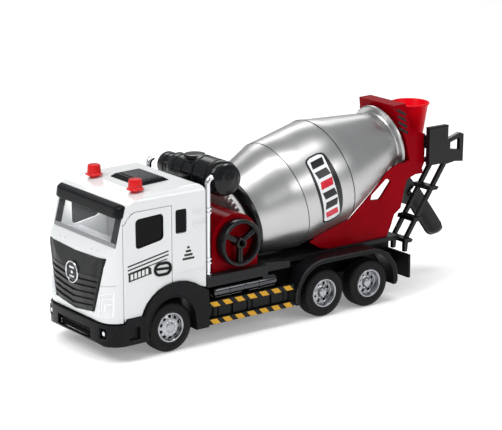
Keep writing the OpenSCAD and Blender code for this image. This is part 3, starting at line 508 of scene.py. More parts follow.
def rim(node, front):
    """A wheel disc in a chromed lip: the front ones crown outwards, the rear ones are deep dishes."""
    place, body = wheel_place(node), BODY_OF[node]
    lip = [(RIM_R - 0.05, 1.6), (RIM_R - 0.05, 0.75), (RIM_R - 0.3, 0.42), (RIM_R - 0.75, 0.4),
           (RIM_R - 1.0, 0.7)]
    if front:
        disc = [(8.75, 2.2), (8.5, 2.5), (8.2, 2.4), (6.4, 1.75), (5.9, 1.6), (5.2, 1.45), (3.4, 1.3),
                (3.1, 1.1), (2.8, 0.7), (2.2, 0.5), (0, 0.45)]
        slots, slot_slices, slot_row, bolt_r, bolt_z = 10, range(3, 9), 7, 4.5, 1.2
    else:
        disc = [(8.85, 2.0), (8.6, 4.2), (8.2, 4.6), (7.2, 4.6), (5.3, 4.5), (4.5, 4.2), (3.6, 3.8),
                (3.1, 2.6), (2.7, 2.0), (2.0, 1.7), (0, 1.6)]
        slots, slot_slices, slot_row, bolt_r, bolt_z = 8, range(3, 8), 8, 4.05, 3.8
    slices = 12

    def skip(k, i):
        return k == slot_row and i % slices in slot_slices

    disc_part = lathed(lip + disc, slots * slices, place, skip=skip)
    face = piece(node + "_disc", disc_part, "wheel_grey", node, body, 24)
    lip_ring = [(RIM_R - 0.02, 1.5), (RIM_R - 0.02, 0.7), (RIM_R - 0.3, 0.32), (RIM_R - 0.8, 0.3),
                (RIM_R - 1.1, 0.65), (RIM_R - 0.9, 1.0), (RIM_R - 0.5, 1.5)]
    piece(node + "_lip", lathed(lip_ring, 96, place, True), "chrome", body=body)
    shell = face.modifiers.new("thickness", "SOLIDIFY")
    shell.thickness = 0.45 * MM
    shell.offset = 0
    bolts = []
    for k in range(slots):
        turn = 360 * (k + 0.5) / slots
        a = math.radians(turn)
        centre = (bolt_r * math.cos(a), bolt_r * math.sin(a))
        outline = arc(centre, 0.5, turn, turn + 300, 5)
        depths = (bolt_z - 0.25, bolt_z + 0.9)
        bolts.append(swept([[place @ Vector((x, y, z)) for x, y in outline] for z in depths]))
    piece(node + "_nuts", joined(*bolts), "chrome", body=body, edge=0.08, segments=1)
    backing = [(RIM_R - 1.2, 5.6), (0, 5.7), (0, 11.4), (RIM_R - 0.1, 11.6), (RIM_R - 0.1, 5.6)]
    piece(node + "_drum_brake", lathed(backing, 48, place, True), "black_plastic", body=body)


def wheels():
    for axle in ("front", "middle", "rear"):
        for side in ("left", "right"):
            tyre(f"tyre_{axle}_{side}")
            rim(f"rim_{axle}_{side}", axle == "front")


# ---------------------------------------------------------------- mixer drum

DRUM_TILT = math.radians(15.5)
DRUM_ORIGIN = Vector((68.5, 0, 60.73))
DRUM_AXIS = Vector((-math.cos(DRUM_TILT), 0, math.sin(DRUM_TILT)))
# Distances along the axis and radii: the cup, the two seams, the end of the rear cone, the neck and its rim.
CUP_S, SEAM1_S, SEAM2_S, CONE_S, NECK_S, RIM_S = 41.3, 75.0, 116.2, 170.0, 172.5, 174.6
CUP_R, BAND_R, NECK_R, FLANGE_R = 30.4, 39.2, 22.0, 26.2
CONE_R = NECK_R + 0.4
SKIN = 1.4
# Local +X points to the truck's left, +Y down and +Z up along the drum's axis.
DRUM_PLACE = (Matrix.Translation(DRUM_ORIGIN * MM)
              @ Matrix((ALONG_Y, DRUM_AXIS.cross(ALONG_Y), DRUM_AXIS)).transposed().to_4x4())


def on_drum(name, part, material, node=None, smooth=32.0):
    """A piece in the drum's own frame, so that its brushed finish runs round the axis."""
    piece(name, part, material, node, "drum", smooth, place=DRUM_PLACE)


def shell_profile(points, lip=0.35):
    """The outer line with a rolled edge at each end, and back along the inside."""
    start, end = Vector(points[0]), Vector(points[-1])
    along0 = (Vector(points[1]) - start).normalized()
    along1 = (end - Vector(points[-2])).normalized()
    inward = Vector((lip, 0))
    outer = [start - inward, start + along0 * lip * 0.6 - inward * 0.25, start + along0 * lip * 1.4]
    outer += [Vector(p) for p in points[1:-1]]
    outer += [end - along1 * lip * 1.4, end - along1 * lip * 0.6 - inward * 0.25, end - inward]
    inner = [Vector(p) - Vector((SKIN, 0)) for p in reversed(points)]
    return [(p.x, p.y) for p in outer + inner]


def label_ribbon(name, start, end, low, high, rise0, rise1, material, steps=48):
    """A thin raised patch on the band. low and high give its edges at each share of its length."""
    rings = []
    for k, (x, y) in enumerate(arc((0, 0), 1, start, end, steps)):
        t = k / steps
        corners = ((rise0, low(t)), (rise0, high(t)), (rise1, high(t)), (rise1, low(t)))
        rings.append([((BAND_R + rise) * x, (BAND_R + rise) * y, s) for rise, s in corners])
    on_drum(name, swept(rings), material)


def round_end(t, inset, share):
    """How far an edge draws in near the two ends of a rounded label."""
    u = max(0.0, 1 - min(t, 1 - t) / share)
    return inset * (1 - math.sqrt(1 - u * u))


def drum_label():
    """A plaque as on the real drum, with plain bars where the lettering would be."""
    def middle(t):
        return 1 - (2 * t - 1) ** 2

    label_ribbon("drum_label_frame", -44.5, 31.5,
                 lambda t: 87.6 - 1.8 * middle(t) + round_end(t, 4.5, 0.07),
                 lambda t: 103.6 + 1.9 * middle(t) - round_end(t, 4.5, 0.07), -0.2, 0.12, "label_black")
    label_ribbon("drum_label_field", -42.6, 29.6,
                 lambda t: 88.5 - 0.5 * middle(t) + round_end(t, 3.6, 0.06),
                 lambda t: 102.6 - 1.6 * middle(t) - round_end(t, 3.6, 0.06), -0.1, 0.2, "label_silver")
    first, pitch, width = -38.6, 11.1, 7.6
    for k, colour in enumerate(("black", "black", "red", "black", "black", "red")):
        start = first + pitch * k
        lean = 1.2 if k % 2 else -1.2
        label_ribbon(f"drum_label_bar_{k + 1}", start, start + width,
                     lambda t: 90.0 + lean * (t - 0.5), lambda t: 100.4 + lean * (t - 0.5),
                     0, 0.26, "label_" + colour, 8)


def drum():
    front = straight((CUP_R, CUP_S), (BAND_R, SEAM1_S), 4)
    band = straight((BAND_R, SEAM1_S), (BAND_R - 0.1, SEAM2_S), 3)
    rear = straight((BAND_R - 0.1, SEAM2_S), (CONE_R, CONE_S), 5) + [(NECK_R, NECK_S - 1)]
    mouth = [(NECK_R - 0.3, NECK_S - 1.4), (NECK_R + 0.3, NECK_S - 0.6), (FLANGE_R - 0.8, NECK_S - 0.2),
             (FLANGE_R, NECK_S + 0.5), (FLANGE_R, RIM_S - 0.6), (FLANGE_R - 0.6, RIM_S),
             (NECK_R - 0.6, RIM_S), (NECK_R - SKIN, RIM_S - 0.8)]
    rear_shell = shell_profile(rear)
    cut = next(k for k, p in enumerate(rear_shell) if p[1] > NECK_S - 1.6)
    rear_with_mouth = rear_shell[:cut] + mouth + rear_shell[-len(rear):]
    for node, profile in (("drum_front_cone", shell_profile(front)), ("drum_band", shell_profile(band)),
                          ("drum_rear_cone", rear_with_mouth)):
        on_drum(node + "_rolled", lathed(profile, 128, closed=True), "drum_silver", node, 20)
    cup = [(0, 35.7), (25.6, 35.7), (26.6, 36.0), (29.2, 37.6), (CUP_R - 0.2, 38.8), (CUP_R, 39.4),
           (CUP_R, CUP_S - 0.3), (CUP_R - 0.4, CUP_S), (0, CUP_S)]
    pin = [(0, 20.0), (2.4, 20.0), (2.9, 20.5), (2.9, 33.0), (7.9, 33.2), (7.9, 36.2), (0, 36.2)]
    on_drum("drum_cup_turned", joined(lathed(cup, 128), lathed(pin, 48)), "gloss_black", "drum_cup", 25)
    for k, s in enumerate((SEAM1_S, SEAM2_S)):
        groove = [(BAND_R - 0.6, s - 0.22), (BAND_R + 0.08, s - 0.16), (BAND_R + 0.08, s + 0.16),
                  (BAND_R - 0.6, s + 0.22)]
        on_drum(f"drum_seam_{k + 1}", lathed(groove, 128, closed=True), "dark_grey_plastic")
    drum_label()


# ---------------------------------------------------------------- cab front

# Heights of the louvres' upper edges as shares of the grille, and the badge's height.
LOUVRES = (0.66, 0.55, 0.445, 0.335, 0.225, 0.115)
BADGE_Z = 54.6
FOG_LAMP = (155.6, 32, 20)
CAB_SKIN = NODES["cab_shell"].data
SKIN_TREE = BVHTree.FromPolygons([v.co / MM for v in CAB_SKIN.vertices],
                                 [list(f.vertices) for f in CAB_SKIN.polygons])


def front_x(y, z):
    """Where the cab's front surface is at a height and distance from the middle."""
    hit = SKIN_TREE.ray_cast(Vector((200, y, z)), -ALONG_X)[0]
    return hit.x if hit else 150.0


def front_strip(path, width, lift, sink=0.3, steps=6):
    """A rib that follows the cab's front along a path of (y, z) points."""
    points = []
    for a, b in zip(path, path[1:]):
        points += straight(a, b, steps)[:-1]
    points.append(path[-1])
    rings = []
    for before, (y, z), after in zip(points[:1] + points, points, points[1:] + points[-1:]):
        along = Vector((after[0] - before[0], after[1] - before[1])).normalized()
        sides = []
        for half in (-width / 2, width / 2):
            dy, dz = -along.y * half, along.x * half
            x = front_x(y + dy, z + dz)
            sides.append((Vector((x - sink, y + dy, z + dz)),
                          Vector((x + lift, y + dy * 0.75, z + dz * 0.75))))
        rings.append([*sides[0], *reversed(sides[1])])
    return swept(rings)


def grille_relief(across, up):
    """Shingled louvres below a smooth brow, between plain borders."""
    if abs(across) > 0.9:
        return 0.25
    edges = LOUVRES + (0.0,)
    for top, bottom in zip(edges, edges[1:]):
        if bottom <= up < top:
            return 0.45 - 0.95 * (top - up) / (top - bottom)
    return 0.0


def grille():
    columns, rows = 48, 200
    verts, faces = [], []
    for j in range(rows + 1):
        up = j / rows
        half = 23.5 + 11 * up
        for i in range(columns + 1):
            across = -1 + 2 * i / columns
            y = across * half
            z = 29.6 + 3.4 * abs(across) + up * (39.4 - 2.0 * abs(across))
            inside = min(1 - abs(across), up, 1 - up) > 1e-6
            lift = 0.75 + grille_relief(across, up) if inside else -0.4
            verts.append(Vector((front_x(y, z) + lift, y, z)))
    wide = columns + 1
    for j in range(rows):
        faces += [[a, a + 1, a + 1 + wide, a + wide] for a in range(j * wide, j * wide + columns)]
    piece("grille_louvred", (verts, faces), "grille_black", "grille", smooth=24)
    seat_x = front_x(0, BADGE_Z) + 0.4
    place = along_axis((seat_x, 0, BADGE_Z), ALONG_X)
    ring = [(6.5, 0), (7.4, 0), (7.5, 0.5), (7.3, 0.95), (6.9, 1.05), (6.5, 0.9), (6.35, 0.4)]
    piece("badge_ring", lathed(ring, 64, place, True), "chrome", "grille_badge")
    piece("badge_disc", lathed([(0, -2.2), (6.8, -2.2), (6.8, 0.25), (0, 0.4)], 48, place), "gloss_black")
    # A plain mark in place of a maker's letter: two bars and a stud.
    bars = [box((seat_x + 0.2, -2.9, z - 0.65), (seat_x + 0.65, 2.9, z + 0.65))
            for z in (BADGE_Z - 3.1, BADGE_Z + 3.1)]
    stud = lathed([(1.3, 0.1), (1.3, 0.6), (1.0, 0.8), (0, 0.85)], 20, place)
    piece("badge_mark", joined(*bars, stud), "chrome")


def headlamps():
    """Clear corner lamps moulded as nested angles, small fog lamps and the bumper's intake."""
    ribs = []
    for k in range(3):
        d = 2.3 * k
        path = [(27.6 + d, 31.5 + d * 0.6), (28.6 + d, 45.4 - d * 1.2), (36.6, 47.2 - d * 1.6)]
        ribs.append(front_strip(path, 0.7, 0.55))
    ribs.append(front_strip([(27.2, 31.2), (36.8, 31.2), (37.2, 47.6)], 0.5, 0.4))
    side_pieces("headlamp_ribs", joined(*ribs), "clear_lens", ("lamp_lenses", None))
    place = along_axis(FOG_LAMP, ALONG_X)
    lens = lathed([(1.5, -0.6), (1.5, 0.2), (1.2, 0.6), (0.6, 0.85), (0, 0.9)], 24, place)
    side_pieces("fog_lamp", lens, "clear_lens")
    ring = lathed([(1.6, -0.8), (2.3, -0.8), (2.4, 0.3), (2.0, 0.6), (1.6, 0.4)], 24, place, True)
    side_pieces("fog_lamp_ring", ring, "black_plastic")
    side_pieces("fog_lamp_back", box((154.4, 28.8, 16.4), (155.3, 35.2, 23.6)), "black_plastic")
    piece("intake_back", box((154.6, -20.5, 14), (155.4, 20.5, 22)), "black_plastic")
    bars = [tube([(156.6, -20, z), (156.6, 20, z)], 0.45, 6, up=ALONG_Z) for z in (16.3, 18.2, 20.1)]
    piece("intake_bars", joined(*bars), "black_plastic")


def screen_x(z):
    """Where the windscreen's face is at a height."""
    return 149.5 - (z - 77.1) * 5.9 / 23.2


def screen_strip(section, y0, y1):
    """A bar across the windscreen from (distance off the screen's face, height) pairs."""
    return prism([(screen_x(z) + out, z) for out, z in section], y0, y1)


def windscreen():
    """Clear screen with dark moulded bands at its sides and a ridged cowl along its foot."""
    pane = screen_strip([(-0.9, 76.9), (0.1, 76.9), (0.1, 100.2), (-0.9, 100.2)], -37.4, 37.4)
    piece("windscreen_pane", pane, "smoky_glass", "windscreen", edge=0.3)
    bands = screen_strip([(-1.4, 78.6), (-0.2, 78.6), (-0.2, 99), (-1.4, 99)], 31.0, 36.6)
    side_pieces("windscreen_band", bands, "dark_glass")
    cowl = screen_strip([(-1.5, 79.4), (0.251, 79.6), (0.35, 77.3), (-1.2, 77.3)], -36.8, 36.8)
    piece("windscreen_cowl", cowl, "grey_plastic", edge=0.2)
    face_x = screen_x(78.4)
    teeth = [box((face_x + 0.1, y - 0.45, 77.7), (face_x + 0.55, y + 0.45, 79.1))
             for y in [-35.5 + 2.2 * k for k in range(33)]]
    piece("windscreen_cowl_teeth", joined(*teeth), "grey_plastic")
    clips = [box((front_x(y, 72.6) - 0.4, y - 1.0, 71.8), (front_x(y, 72.6) + 0.5, y + 1.0, 73.4))
             for y in (-23, -16.5, 16.5, 23)]
    piece("bonnet_clips", joined(*clips), "white_paint", edge=0.25)


def sun_visor():
    """A peaked visor whose ends wrap round the corners of the cab."""
    section = [(141.9, 103.3), (142.6, 104.5), (143.6, 104.75), (147.2, 103.2), (147.9, 102.3), (148.6, 97.0),
               (148.3, 96.1), (146.4, 95.3), (145.2, 96.1), (143.5, 100.4)]
    middle = Vector((145.4, 99.6))
    # Distance from the middle, how far the section is set back there, and how much it is trimmed.
    half = [(39.0, 3.4, 1.7), (38.7, 2.5, 1.1), (38.0, 1.6, 0.55), (36.8, 0.85, 0.2), (35.0, 0.35, 0.05),
            (32.0, 0.0, 0.0)]
    stations = half + [(-y, back, trim) for y, back, trim in reversed(half)]
    rings = []
    for y, back, trim in stations:
        ring = []
        for x, z in section:
            toward = (middle - Vector((x, z))).normalized() * trim
            ring.append(Vector((x - back * (0.35 if x < 144 else 1.0) + toward.x, y, z + toward.y)))
        rings.append(ring)
    piece("sun_visor_wrapped", swept(rings), "black_plastic", "sun_visor", smooth=40, edge=0.3)


# ---------------------------------------------------------------- doors and cab sides

HINGE = upright(143.4, 38.6)
DOOR_OUTLINE = [(107.7, 47.5), (113, 46.6), (118.6, 44.5), (123.4, 41.1), (127.6, 36.9), (130, 33),
                (131.3, 29.4), (143.4, 29.4), (143.4, 91.8), (141.4, 95.4), (138.8, 97.7), (135.4, 99.2),
                (107.7, 99.3)]
DOOR_WINDOW = rounded([(113.9, 77.9), (135.3, 74.3), (135.5, 94.2), (114.0, 95.4)], 3.2, 5)
DOOR_WINDOW_MIDDLE = (124.7, 84.9)
HANDLE = (115, 58.3)
QUARTER_WINDOW = rectangle(96, 79.7, 104.8, 96)
QUARTER_MIDDLE = (100.4, 87.85)
SIDE_Y = 40


def decal(outline, lift=0.12):
    """A thin raised patch on the cab's side."""
    return plate(outline, SIDE_Y - 0.2, SIDE_Y + lift, 0.03)


def doors():
    def on_doors(name, part, material, nodes=(None, None)):
        side_pieces("door_" + name, part, material, nodes, ("left_door", "right_door"))

    on_doors("panel", plate(DOOR_OUTLINE, 37.2, SIDE_Y, 0.35, [DOOR_WINDOW]), "white_paint",
             ("door_left", "door_right"))
    knuckle = lathed([(0, 29.4), (1.4, 29.6), (1.4, 91.6), (0, 91.8)], 24, HINGE)
    pin = lathed([(0, 27.4), (0.6, 27.4), (0.8, 27.7), (0.8, 95.4), (0.5, 95.8), (0, 95.8)], 20, HINGE)
    on_doors("hinge", joined(knuckle, pin), "white_paint")
    on_doors("pane", plate(DOOR_WINDOW, 37.7, 38.9, 0.15), "dark_glass",
             ("door_glass_left", "door_glass_right"))
    opening = scaled(DOOR_WINDOW, DOOR_WINDOW_MIDDLE, 0.965)
    on_doors("window_seal", plate(DOOR_WINDOW, 38.4, 39.7, 0.12, [opening]), "black_plastic")
    ring = plate(oval(*HANDLE, 6.9, 4.7), 39.7, 40.8, 0.25, [oval(*HANDLE, 5.1, 2.9)])
    on_doors("handle_ring", ring, "black_plastic")
    grip = rounded([(110, 57.3), (120.2, 57.9), (120.2, 59.5), (110, 58.9)], 0.7)
    on_doors("handle_grip", plate(grip, 39.7, 40.8, 0.25), "black_plastic")
    stripes = [stripe((110.4, 69.6), (141.8, 64.1), 0.95), stripe((110.4, 67.2), (141.8, 61.6), 0.95),
               stripe((111.5, 64.5), (141.8, 59.3), 0.7)]
    block = [(123.5, 56.5), (141.3, 53.7), (141.3, 59.5), (126.4, 62.1), (124.0, 60.6)]
    on_doors("stripes", joined(*map(decal, stripes + [block])), "label_black")
    # Plain marks where the real door has a word.
    marks = []
    width, height = 1.9, 3.7
    slope = (56.4 - 53.7) / (141.3 - 123.5)
    for k in range(5):
        x = 139.8 - 2.9 * k
        near, far = [54.7 + (141.3 - at) * slope for at in (x, x - width)]
        marks.append(decal([(x, near), (x, near + height), (x - width, far + height), (x - width, far)], 0.2))
    on_doors("marks", joined(*marks), "white_paint")


def cab_sides():
    """Panes behind the doors with their trim, plain bars, ribs and the seam round the corner."""
    window = rounded(QUARTER_WINDOW, 1.8, 5)
    opening = scaled(window, QUARTER_MIDDLE, 0.93)
    side_pieces("quarter_pane", plate(window, 38.5, 39.75, 0.12), "dark_glass", ("side_windows", None))
    trim = plate(scaled(QUARTER_WINDOW, QUARTER_MIDDLE, 1.03), 39.3, 40.02, 0.03, [opening])
    side_pieces("quarter_trim", trim, "white_paint")
    seal = plate(scaled(window, QUARTER_MIDDLE, 0.98), 39.4, 40.1, 0.05, [opening])
    side_pieces("quarter_seal", seal, "black_plastic")
    # A plain stack of bars where the real panel carries a sign.
    stack = [decal(rounded(stripe((94.8 - half, z), (94.8 + half, z), 1.5), 0.5))
             for half, z in ((1.0, 69.4), (2.1, 66.9), (3.3, 64.4), (4.6, 61.9))]
    side_pieces("panel_bars", joined(*stack), "label_black")
    ribs = [plate(rounded(stripe((81.6, z), (91.5, z - 0.4), 0.7), 0.3), 39.7, 40.35, 0.15)
            for z in (94.5, 92, 86.5, 84.2)]
    ribs.append(plate(rounded(stripe((81.4, 53.8), (104.4, 53.8), 0.6), 0.25), 39.7, 40.3, 0.15))
    side_pieces("panel_ribs", joined(*ribs), "white_paint")
    seam = front_strip([(26.8, 50.8), (34.0, 51.8), (38.9, 52.6)], 0.35, 0.1, 0.4)
    side_pieces("corner_seam", seam, "grey_plastic")


# ---------------------------------------------------------------- roof

BEACON_X, BEACON_Y = 125.3, 24.7


def beacons():
    """Ribbed red caps, each on a coil spring."""
    skirt = [(0, 102), (2.9, 102), (3.0, 102.3), (3.0, 109.45), (5.3, 109.64), (5.7, 109.86), (5.7, 110.3),
             (5.3, 110.6), (4.75, 110.8), (4.6, 111.2), (4.4, 115.6), (4.15, 116.3), (3.6, 116.6), (0, 116.6)]
    foot_z, coil_r, rise, steps = 98.55, 2.2, 3.1, 90

    def ribbed(k, i, radius):
        return radius - (0.22 if k in (9, 10) and i % 4 == 0 else 0)

    for side, y in (("left", BEACON_Y), ("right", -BEACON_Y)):
        cap = lathed(skirt, 64, upright(BEACON_X, y), radius_of=ribbed)
        piece(f"beacon_{side}_ribbed", cap, "beacon_red", f"beacon_{side}", f"{side}_beacon", 28)
        path = [(x, y_here, foot_z + rise * k / steps)
                for k, (x, y_here) in enumerate(arc((BEACON_X, y), coil_r, 0, 18 * steps, steps))]
        coil = piece(f"spring_{side}_coiled", tube(path, 0.32, up=ALONG_Z), "steel", f"spring_{side}")
        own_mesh(coil)


def hatch_lid():
    """The hatch's raised lid inside its frame."""
    def top(x):
        return 111.6 - (x - 96.5) * 0.6 / 18

    lid = prism([(x, top(x) + rise) for x, rise in ((98.4, -0.6), (98.4, 0.5), (112.6, 0.5), (112.6, -0.6))],
                -12.8, 12.8)
    piece("roof_hatch_lid", lid, "gloss_black", edge=0.4, segments=3)


# ---------------------------------------------------------------- arches and fenders

ARCH_OUTER = [(79.5, 12.2), (79.5, 38), (84.6, 41.2), (90, 44.6), (96, 47), (102, 48), (107.6, 47.9),
              (113, 46.8), (118, 44.4), (122.8, 40.8), (126.8, 36.5), (129.6, 31.6), (131, 27), (131, 12.2)]
ARCH_MIDDLE = (108.5, 18.4)
ARCH_HALF = (19.0, 20.4)
FLARE_Y = 42
FENDER_ARCS = (((-17.7, 17.3), -6), ((-57.7, 17.3), 90))


def front_arches():
    """The bumper's front part as moulded, and smooth flares over the front wheels."""
    piece("bumper_bar", flat_faced("front_bumper", front_of=130.6), "black_plastic", "front_bumper", edge=0.6,
          segments=3)
    inner = [(ARCH_MIDDLE[0] + ARCH_HALF[0] * x, ARCH_MIDDLE[1] + ARCH_HALF[1] * z)
             for x, z in arc((0, 0), 1, 0, 180, 28)]
    flare = plate(ARCH_OUTER + [(127.5, 12.2)] + inner + [(89.5, 12.2)], 27, FLARE_Y, 0.7)
    side_pieces("wheel_flare", flare, "black_plastic")
    side_pieces("wheel_flare_lip", tube([(x, FLARE_Y - 0.2, z) for x, z in inner], 0.55), "black_plastic")


def fender_lips():
    """The rolled outer lip of each rear fender."""
    path = [(x, 41.2, z) for centre, start in FENDER_ARCS
            for x, z in arc(centre, 24.8, start, start + 96, 16)]
    side_pieces("fender_lip", tube(path, 0.5), "gloss_black")


# ---------------------------------------------------------------- behind the cab

AIR_X, AIR_Z, AIR_R = 59.5, 108.0, 12.0
STACK_X, STACK_Y, STACK_R = 75.5, 34.5, 1.9
TANK_Y, TANK_Z, TANK_R = 34, 33.4, 4.2
CRANK = Vector((52.54, 0, 65.16))


def air_cleaner():
    """A canister in three steps with bands, ribs, a domed cap and a rain hood."""
    def along_y(profile, z):
        return lathed(profile, 72, along_axis((AIR_X, 0, z), ALONG_Y))

    main = [(0, 5.4), (9.8, 5.4), (11.4, 6.2), (AIR_R, 7.2), (AIR_R, 9.6), (AIR_R - 0.7, 9.9),
            (AIR_R - 0.7, 12.0), (AIR_R, 12.3), (AIR_R, 24.6), (AIR_R - 0.6, 24.9), (AIR_R - 0.6, 26.4),
            (AIR_R, 26.7), (AIR_R, 30.6), (11.2, 32.0), (10.7, 32.6), (10.4, 35.0), (9.6, 35.8), (7.4, 36.6),
            (6.8, 37.2), (3.2, 37.6), (2.6, 37.9), (0, 38)]
    neck = [(0, -24.4), (8.4, -24.2), (9.2, -23.4), (9.6, -22.4), (9.6, -16.8), (9.15, -16.5), (9.15, -14.6),
            (9.6, -14.3), (9.6, -6.2), (9.1, -5.9), (9.1, -4.2), (9.6, -3.9), (9.6, 4.8), (9.9, 6.4),
            (0, 6.6)]
    snout = [(0, -38.0), (4.2, -37.9), (5.0, -37.3), (7.4, -36.9), (8.2, -36.2), (8.6, -35.2), (8.6, -29.6),
             (8.2, -29.3), (8.2, -27.6), (8.6, -27.3), (8.6, -23.4), (0, -23.2)]
    hood = lathed([(0, 108), (6.4, 108), (6.4, 115.6), (7.0, 116.1), (7.5, 116.6), (7.5, 118.0), (7.1, 118.7),
                   (5.6, 119.0), (0, 119.0)], 64, upright(AIR_X, -3))
    body = joined(along_y(main, AIR_Z), along_y(neck, AIR_Z - 1.6), along_y(snout, AIR_Z - 2.4), hood)
    piece("air_cleaner_body", body, "gloss_black", "air_cleaner", smooth=30)
    column = joined(box((72, -9, 46), (79.5, 9, 108)), box((62, -9, 96), (76, 9, 106)))
    piece("air_cleaner_column", column, "gloss_black", edge=0.6)
    fins = [box((AIR_X - 1.0, y, AIR_Z + 10.6), (AIR_X + 1.0, y + 0.8, AIR_Z + 11.95))
            for y in (14.5, 17.5, 20.5)]
    piece("air_cleaner_fins", joined(*fins), "gloss_black", edge=0.2, segments=1)


def exhausts():
    """Chromed pipes whose tops bend back, clamped to the cab twice."""
    bend, inner_r, outer_r = 4.2, STACK_R - 0.1, STACK_R + 0.9
    place = upright(STACK_X, STACK_Y)
    path = [(STACK_X, STACK_Y, z) for z in (46, 60, 75, 90, 107)]
    path += [(x, STACK_Y, z) for x, z in arc((STACK_X - bend, 107.6), bend, 10, 80, 7)]
    side_pieces("exhaust_pipe", tube(path, STACK_R, 24), "chrome", ("exhaust_stacks", None))
    clamps = []
    for z in (54.6, 57.4, 88.6, 91.4):
        collar = [(inner_r, z - 0.7), (outer_r - 0.1, z - 0.6), (outer_r, z), (outer_r - 0.1, z + 0.6),
                  (inner_r, z + 0.7)]
        clamps.append(lathed(collar, 28, place, True))
        clamps.append(box((STACK_X + 1.2, STACK_Y - 0.9, z - 0.5), (81, STACK_Y + 0.9, z + 0.5)))
    foot = [(inner_r, 46), (outer_r, 46), (outer_r, 47.2), (STACK_R + 0.3, 47.8), (inner_r, 48)]
    side_pieces("exhaust_clamps", joined(*clamps, lathed(foot, 28, place, True)), "chrome")


def tanks():
    """Air tanks with domed ends, two bands and a filler cap."""
    dome = [(0, 0), (2.6, 0.1), (3.6, 0.6), (4.1, 1.5), (TANK_R, 2.5)]
    shell = [(r, 20.1 + out) for r, out in dome]
    for x in (34, 58):
        shell += [(TANK_R, x), (TANK_R + 0.3, x + 0.1), (TANK_R + 0.3, x + 1.9), (TANK_R, x + 2)]
    shell += [(r, 72.9 - out) for r, out in reversed(dome)]
    body = lathed(shell, 48, along_axis((0, TANK_Y, TANK_Z), ALONG_X))
    cap = lathed([(0, 0), (1.9, 0), (1.9, 3.6), (1.7, 4.0), (1.4, 4.2), (1.2, 4.4), (0, 4.5)], 32,
                 along_axis((47, TANK_Y + 0.2, TANK_Z), ALONG_Y))
    feet = [box((x, 26, 32), (x + 3, 31, 35)) for x in (30, 60)]
    side_pieces("air_tank_shell", joined(body, cap, *feet), "tank_silver", ("air_tanks", None))


def guards():
    """Rails with slanted hazard stripes, posts, and a dark backing panel with boxes, partly moulding and
    partly painted shade under the truck.
    """
    rail_height, rail_end, pitch, width, lean = 4, 78, 10.1, 5.6, 3.2
    frames, stripes = [], []
    for z in (12.7, 24.7):
        frames.append(plate(rectangle(8, z, rail_end, z + rail_height), 37.4, 40, 0.35))
        low, high = z + 0.25, z + rail_height - 0.25
        for k in range(7):
            x = 8.6 + pitch * k
            if x + width + lean < rail_end:
                outline = [(x, low), (x + width, low), (x + width + lean, high), (x + lean, high)]
                stripes.append(plate(outline, 39.7, 40.12, 0.03))
    # Dark backing panel behind the rails. Its boxes are moulded parts, and its dark colour is partly painted
    # shade standing in for the shadow under the truck.
    frames.append(plate(rectangle(9, 16, 77, 25.4), 35.6, 36.4, 0.2))
    for x0, x1 in ((15.6, 25.4), (27.2, 41.2), (46.0, 57.4), (59.2, 69.2)):
        frames.append(plate(rounded(rectangle(x0, 17.2, x1, 24.2), 0.9), 36.2, 37.6, 0.35))
    for x in (12, 42, 70):
        frames += [box((x, 35.4, 12.7), (x + 3, 37.4, 28.7)), box((x, 26, 24.6), (x + 3, 35.4, 28.4))]
    side_pieces("guard_frame", joined(*frames), "guard_stripes", ("side_guards", None))
    side_pieces("guard_stripes", joined(*stripes), "stripe_yellow")


def hand_wheel():
    """A round black wheel with three spokes and a recessed hub on the crank's end."""
    place = along_axis(CRANK, ALONG_Y)
    ring = [(13.1, 34.4), (12.9, 36), (12.9, 39.6), (13.2, 41.0), (13.9, 41.7), (14.6, 41.8), (15.4, 41.5),
            (15.9, 40.7), (16, 39.8), (16, 34.8), (15.7, 33.9), (15.0, 33.6), (13.6, 33.7)]
    hub = [(2.05, 33.6), (3.4, 33.6), (3.4, 39.6), (3.8, 40.0), (3.9, 41.2), (3.4, 41.8), (2.7, 41.9),
           (2.1, 41.5), (1.9, 40.2), (1.7, 40.0), (0, 40.0)]
    piece("hand_wheel_rim", joined(lathed(ring, 80, place, True), lathed(hub, 40, place)), "gloss_black",
          "hand_wheel", "crank", 30)
    # Each spoke has a broad back and a narrow raised rib: near and far ends, half width, and depths.
    layers = ((2.4, 14.0, 1.6, 36.5, 40.0), (3.0, 13.4, 0.6, 39.9, 40.6))
    spokes = []
    for degrees in (150, 30, 270):
        a = math.radians(degrees)
        along, across = Vector((math.cos(a), math.sin(a))), Vector((-math.sin(a), math.cos(a)))
        for near, far, half, y0, y1 in layers:
            corners = [along * near + across * half, along * far + across * half * 1.2,
                       along * far - across * half * 1.2, along * near - across * half]
            spokes.append(prism([(CRANK.x + c.x, CRANK.z + c.y) for c in corners], y0, y1))
    piece("hand_wheel_spokes", joined(*spokes), "gloss_black", body="crank", edge=0.35)


# ---------------------------------------------------------------- rear end

SUPPORT_Y = 24.5
SUPPORT_EDGE = [(-17, 50.5), (-51.8, 64), (-70, 80.5), (-85, 90.5), (-97.3, 94), (-106.4, 95.5)]
CHUTE_TIP = Vector((-151, 0, 37.2))
CHUTE_TOP = Vector((-128.5, 0, 68))
CHUTE_R = 8.3


def hopper():
    """The hopper's turned funnel and the spout that leads into the drum."""
    funnel = [(9.6, 104), (9.6, 106), (13.2, 129.2), (13.5, 129.7), (14.1, 129.8), (14.2, 130.2),
              (14.2, 130.7), (13.9, 131), (12.9, 131), (12.6, 130.6), (8.3, 107), (7.6, 106.2), (0, 106),
              (0, 104)]
    tilt = math.radians(14)
    spout = lathed([(6.9, 8.4), (8.2, 8.2), (8.2, 19.8), (7.6, 20.0), (6.9, 19.7)], 48,
                   along_axis((-122, 0, 110), (math.cos(tilt), 0, -math.sin(tilt))), True)
    piece("hopper_funnel", joined(lathed(funnel, 72, upright(-126.5)), spout), "bright_red_plastic", "hopper",
          smooth=30)


